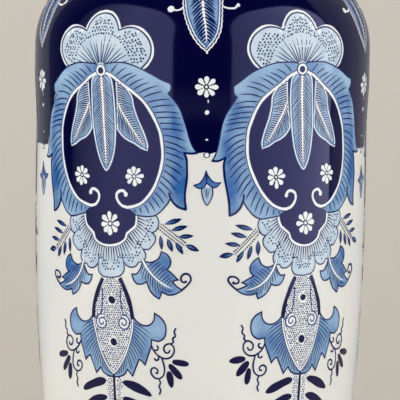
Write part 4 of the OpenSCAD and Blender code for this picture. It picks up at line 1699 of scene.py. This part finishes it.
@dataclass
class Studio:
    """A pale floor and backdrop, soft lights at both sides with a dark gap at the front, and the camera.

    The sheets of light are what the glaze mirrors. The left one fades towards its far edge, the
    right one grows brighter. The bounce lights only add even light and are mirrored in nothing.
    """

    camera_at: tuple[float, float, float] = (0.0, -1.8, 0.398)
    looks_at: tuple[float, float, float] = (0.0, 0.0, 0.2615)
    lens: float = 300.3
    sensor_width: float = 36.0
    shift: float = -0.001
    roll: float = 0.82
    sweep_y: float = 0.9
    light_distance: float = 1.5
    light_top: float = 2.1
    light_corner: float = 0.9
    sheet_size: float = 5.0
    floor_z: float = -0.0006
    backdrop_z: float = 2.4
    gloss_share: float = 0.38
    room: float = 0.04
    soft_lights: tuple[SoftLight, ...] = (
        SoftLight(1, 19.5, 98, 1.2, 2.4), SoftLight(1, 100, 155, 0.35, 0.35),
        SoftLight(-1, 19.5, 98, 1.5, 0.15, 0.45), SoftLight(-1, 100, 155, 0.02, 0.2))
    bounces: tuple[BounceLight, ...] = (
        BounceLight("left_bounce", (-1.5, 0.1, 0.9), (1.6, 1.2), 2.9),
        BounceLight("front_bounce", (0.0, -2.3, 0.9), (1.6, 1.2), 1.6),
        BounceLight("back_bounce", (0.0, 0.86, 0.9), (1.6, 1.2), 0.4),
        BounceLight("foot_bounce", (0.0, 0.0, -0.05), (0.14, 0.14), 1.2))

    def build(self) -> None:
        """Builds the sweep, the lights, the dim room and the camera."""
        self.sweep()
        for light in self.soft_lights:
            self.soft_light(light)
        for bounce in self.bounces:
            self.bounce_light(bounce)
        self.dim_room()
        self.camera()
        bpy.context.scene.view_settings.view_transform = "Standard"

    def sweep(self) -> None:
        """Makes the floor and the backdrop, both clear from behind; the floor casts no shadow."""
        floor = Finish("pale_floor", linear(212, 204, 194), roughness=0.7)
        backdrop = Finish("beige_backdrop", linear(213, 207, 198), roughness=0.8)
        for name, place, turn, finish in (
                ("studio_floor", (0, 0, self.floor_z), 0.0, floor),
                ("studio_backdrop", (0, self.sweep_y, self.backdrop_z), math.pi / 2, backdrop)):
            bpy.ops.object.select_all(action="DESELECT")
            bpy.ops.mesh.primitive_plane_add(size=self.sheet_size, location=place, rotation=(turn, 0, 0))
            sheet = bpy.context.object
            sheet.name = name
            mat = finish.make()
            if turn:
                self.dim_in_gloss(mat, self.gloss_share)
            self.clear_behind(mat)
            sheet.visible_shadow = bool(turn)
            sheet.data.materials.append(mat)

    @staticmethod
    def dim_in_gloss(mat: bpy.types.Material, share: float) -> None:
        """Makes a material look darker in reflections than it is.

        Args:
            mat: The material.
            share: How much of its brightness is left in reflections.
        """
        nodes, links = mat.node_tree.nodes, mat.node_tree.links
        mix, path = nodes.new("ShaderNodeMixShader"), nodes.new("ShaderNodeLightPath")
        dim = nodes.new("ShaderNodeBsdfDiffuse")
        dim.inputs["Color"].default_value = (share, share, share, 1)
        links.new(path.outputs["Is Glossy Ray"], mix.inputs["Fac"])
        links.new(nodes["Principled BSDF"].outputs["BSDF"], mix.inputs[1])
        links.new(dim.outputs["BSDF"], mix.inputs[2])
        links.new(mix.outputs["Shader"], nodes["Material Output"].inputs["Surface"])

    @staticmethod
    def clear_behind(mat: bpy.types.Material) -> None:
        """Makes a material clear on its back faces."""
        nodes, links = mat.node_tree.nodes, mat.node_tree.links
        mix, side = nodes.new("ShaderNodeMixShader"), nodes.new("ShaderNodeNewGeometry")
        links.new(side.outputs["Backfacing"], mix.inputs["Fac"])
        surface = nodes["Material Output"].inputs["Surface"]
        links.new(surface.links[0].from_socket, mix.inputs[1])
        links.new(nodes.new("ShaderNodeBsdfTransparent").outputs["BSDF"], mix.inputs[2])
        links.new(mix.outputs["Shader"], surface)

    def soft_light(self, light: SoftLight) -> None:
        """Stands a tall soft light beside the vase: a glowing sheet with round upper corners.

        Args:
            light: Its place and its glow.
        """
        side = light.side
        middle = math.radians((light.near + light.far) / 2)
        width = 2 * self.light_distance * math.tan(math.radians((light.far - light.near) / 2))
        bpy.ops.object.select_all(action="DESELECT")
        bpy.ops.mesh.primitive_plane_add(size=1)
        sheet = bpy.context.object
        sheet.name = "soft_light"
        bpy.ops.object.mode_set(mode="EDIT")
        bpy.ops.transform.resize(value=(width, self.light_top, 1))
        bpy.ops.mesh.select_all(action="DESELECT")
        edit = bmesh.from_edit_mesh(sheet.data)
        for vert in edit.verts:
            vert.select = vert.co.y > 0
        edit.select_flush_mode()
        bpy.ops.mesh.bevel(offset=self.light_corner, segments=10, affect="VERTICES")
        bpy.ops.object.mode_set(mode="OBJECT")
        mat = bpy.data.materials.new("soft_light")
        mat.use_nodes = True
        nodes, links = mat.node_tree.nodes, mat.node_tree.links
        shader = nodes["Principled BSDF"]
        shader.inputs["Base Color"].default_value = (0, 0, 0, 1)
        shader.inputs["Specular IOR Level"].default_value = 0
        shader.inputs["Emission Color"].default_value = (1, 1, 1, 1)
        place, split = nodes.new("ShaderNodeTexCoord"), nodes.new("ShaderNodeSeparateXYZ")
        fall = nodes.new("ShaderNodeMapRange")
        links.new(place.outputs["Object"], split.inputs["Vector"])
        links.new(split.outputs["X"], fall.inputs["Value"])
        links.new(fall.outputs["Result"], shader.inputs["Emission Strength"])
        fall.inputs["From Min"].default_value = side * width * (0.5 - light.even)
        fall.inputs["From Max"].default_value = -side * width / 2
        fall.inputs["To Min"].default_value = light.near_glow
        fall.inputs["To Max"].default_value = light.far_glow
        self.clear_behind(mat)
        sheet.data.materials.append(mat)
        sheet.location = (side * self.light_distance * math.sin(middle),
                          -self.light_distance * math.cos(middle), self.light_top / 2)
        sheet.rotation_euler = (math.pi / 2, 0, side * middle + math.pi)
        sheet.visible_camera = False

    @staticmethod
    def bounce_light(light: BounceLight) -> None:
        """Adds a bounce light, aimed at the vase.

        Args:
            light: Its place, size and glow.
        """
        vase_middle = Vector((0, 0, 0.25))
        data = bpy.data.lights.new(light.name, "AREA")
        data.shape, data.size, data.size_y = "RECTANGLE", *light.size
        data.energy = light.glow * data.size * data.size_y * math.pi
        ob = bpy.data.objects.new(light.name, data)
        bpy.context.scene.collection.objects.link(ob)
        ob.location = light.place
        ob.rotation_euler = (vase_middle - ob.location).to_track_quat("-Z", "Y").to_euler()
        ob.visible_glossy = ob.visible_camera = False

    def dim_room(self) -> None:
        """Sets the dim room round the studio, which looks beige to the camera."""
        world = bpy.data.worlds.new("dim_room")
        world.use_nodes = True
        nodes, links = world.node_tree.nodes, world.node_tree.links
        room = nodes["Background"]
        room.inputs["Color"].default_value = (0.9, 0.93, 1, 1)
        room.inputs["Strength"].default_value = self.room
        seen = nodes.new("ShaderNodeBackground")
        seen.inputs["Color"].default_value = (*linear(203, 193, 182), 1)
        mix, path = nodes.new("ShaderNodeMixShader"), nodes.new("ShaderNodeLightPath")
        links.new(path.outputs["Is Camera Ray"], mix.inputs["Fac"])
        links.new(room.outputs["Background"], mix.inputs[1])
        links.new(seen.outputs["Background"], mix.inputs[2])
        links.new(mix.outputs["Shader"], nodes["World Output"].inputs["Surface"])
        bpy.context.scene.world = world

    def camera(self) -> None:
        """Sets the camera, rolled a little so that the vase leans as it was seen to."""
        data = bpy.data.cameras.new("camera")
        data.lens = self.lens
        data.sensor_width = self.sensor_width
        data.shift_x = self.shift
        data.clip_start, data.clip_end = 0.05, 20
        ob = bpy.data.objects.new("camera", data)
        bpy.context.scene.collection.objects.link(ob)
        ob.location = self.camera_at
        aim = (Vector(self.looks_at) - Vector(self.camera_at)).to_track_quat("-Z", "Y")
        ob.rotation_euler = (aim @ Euler((0, 0, math.radians(self.roll))).to_quaternion()).to_euler()
        bpy.context.scene.camera = ob


def main() -> None:
    """Builds the vase and the studio."""
    logging.basicConfig(level=logging.INFO, format="%(name)s: %(message)s")
    vase = Vase()
    vase.build()
    vase.dress_clay()
    Studio().build()


if __name__ == "__main__":
    main()
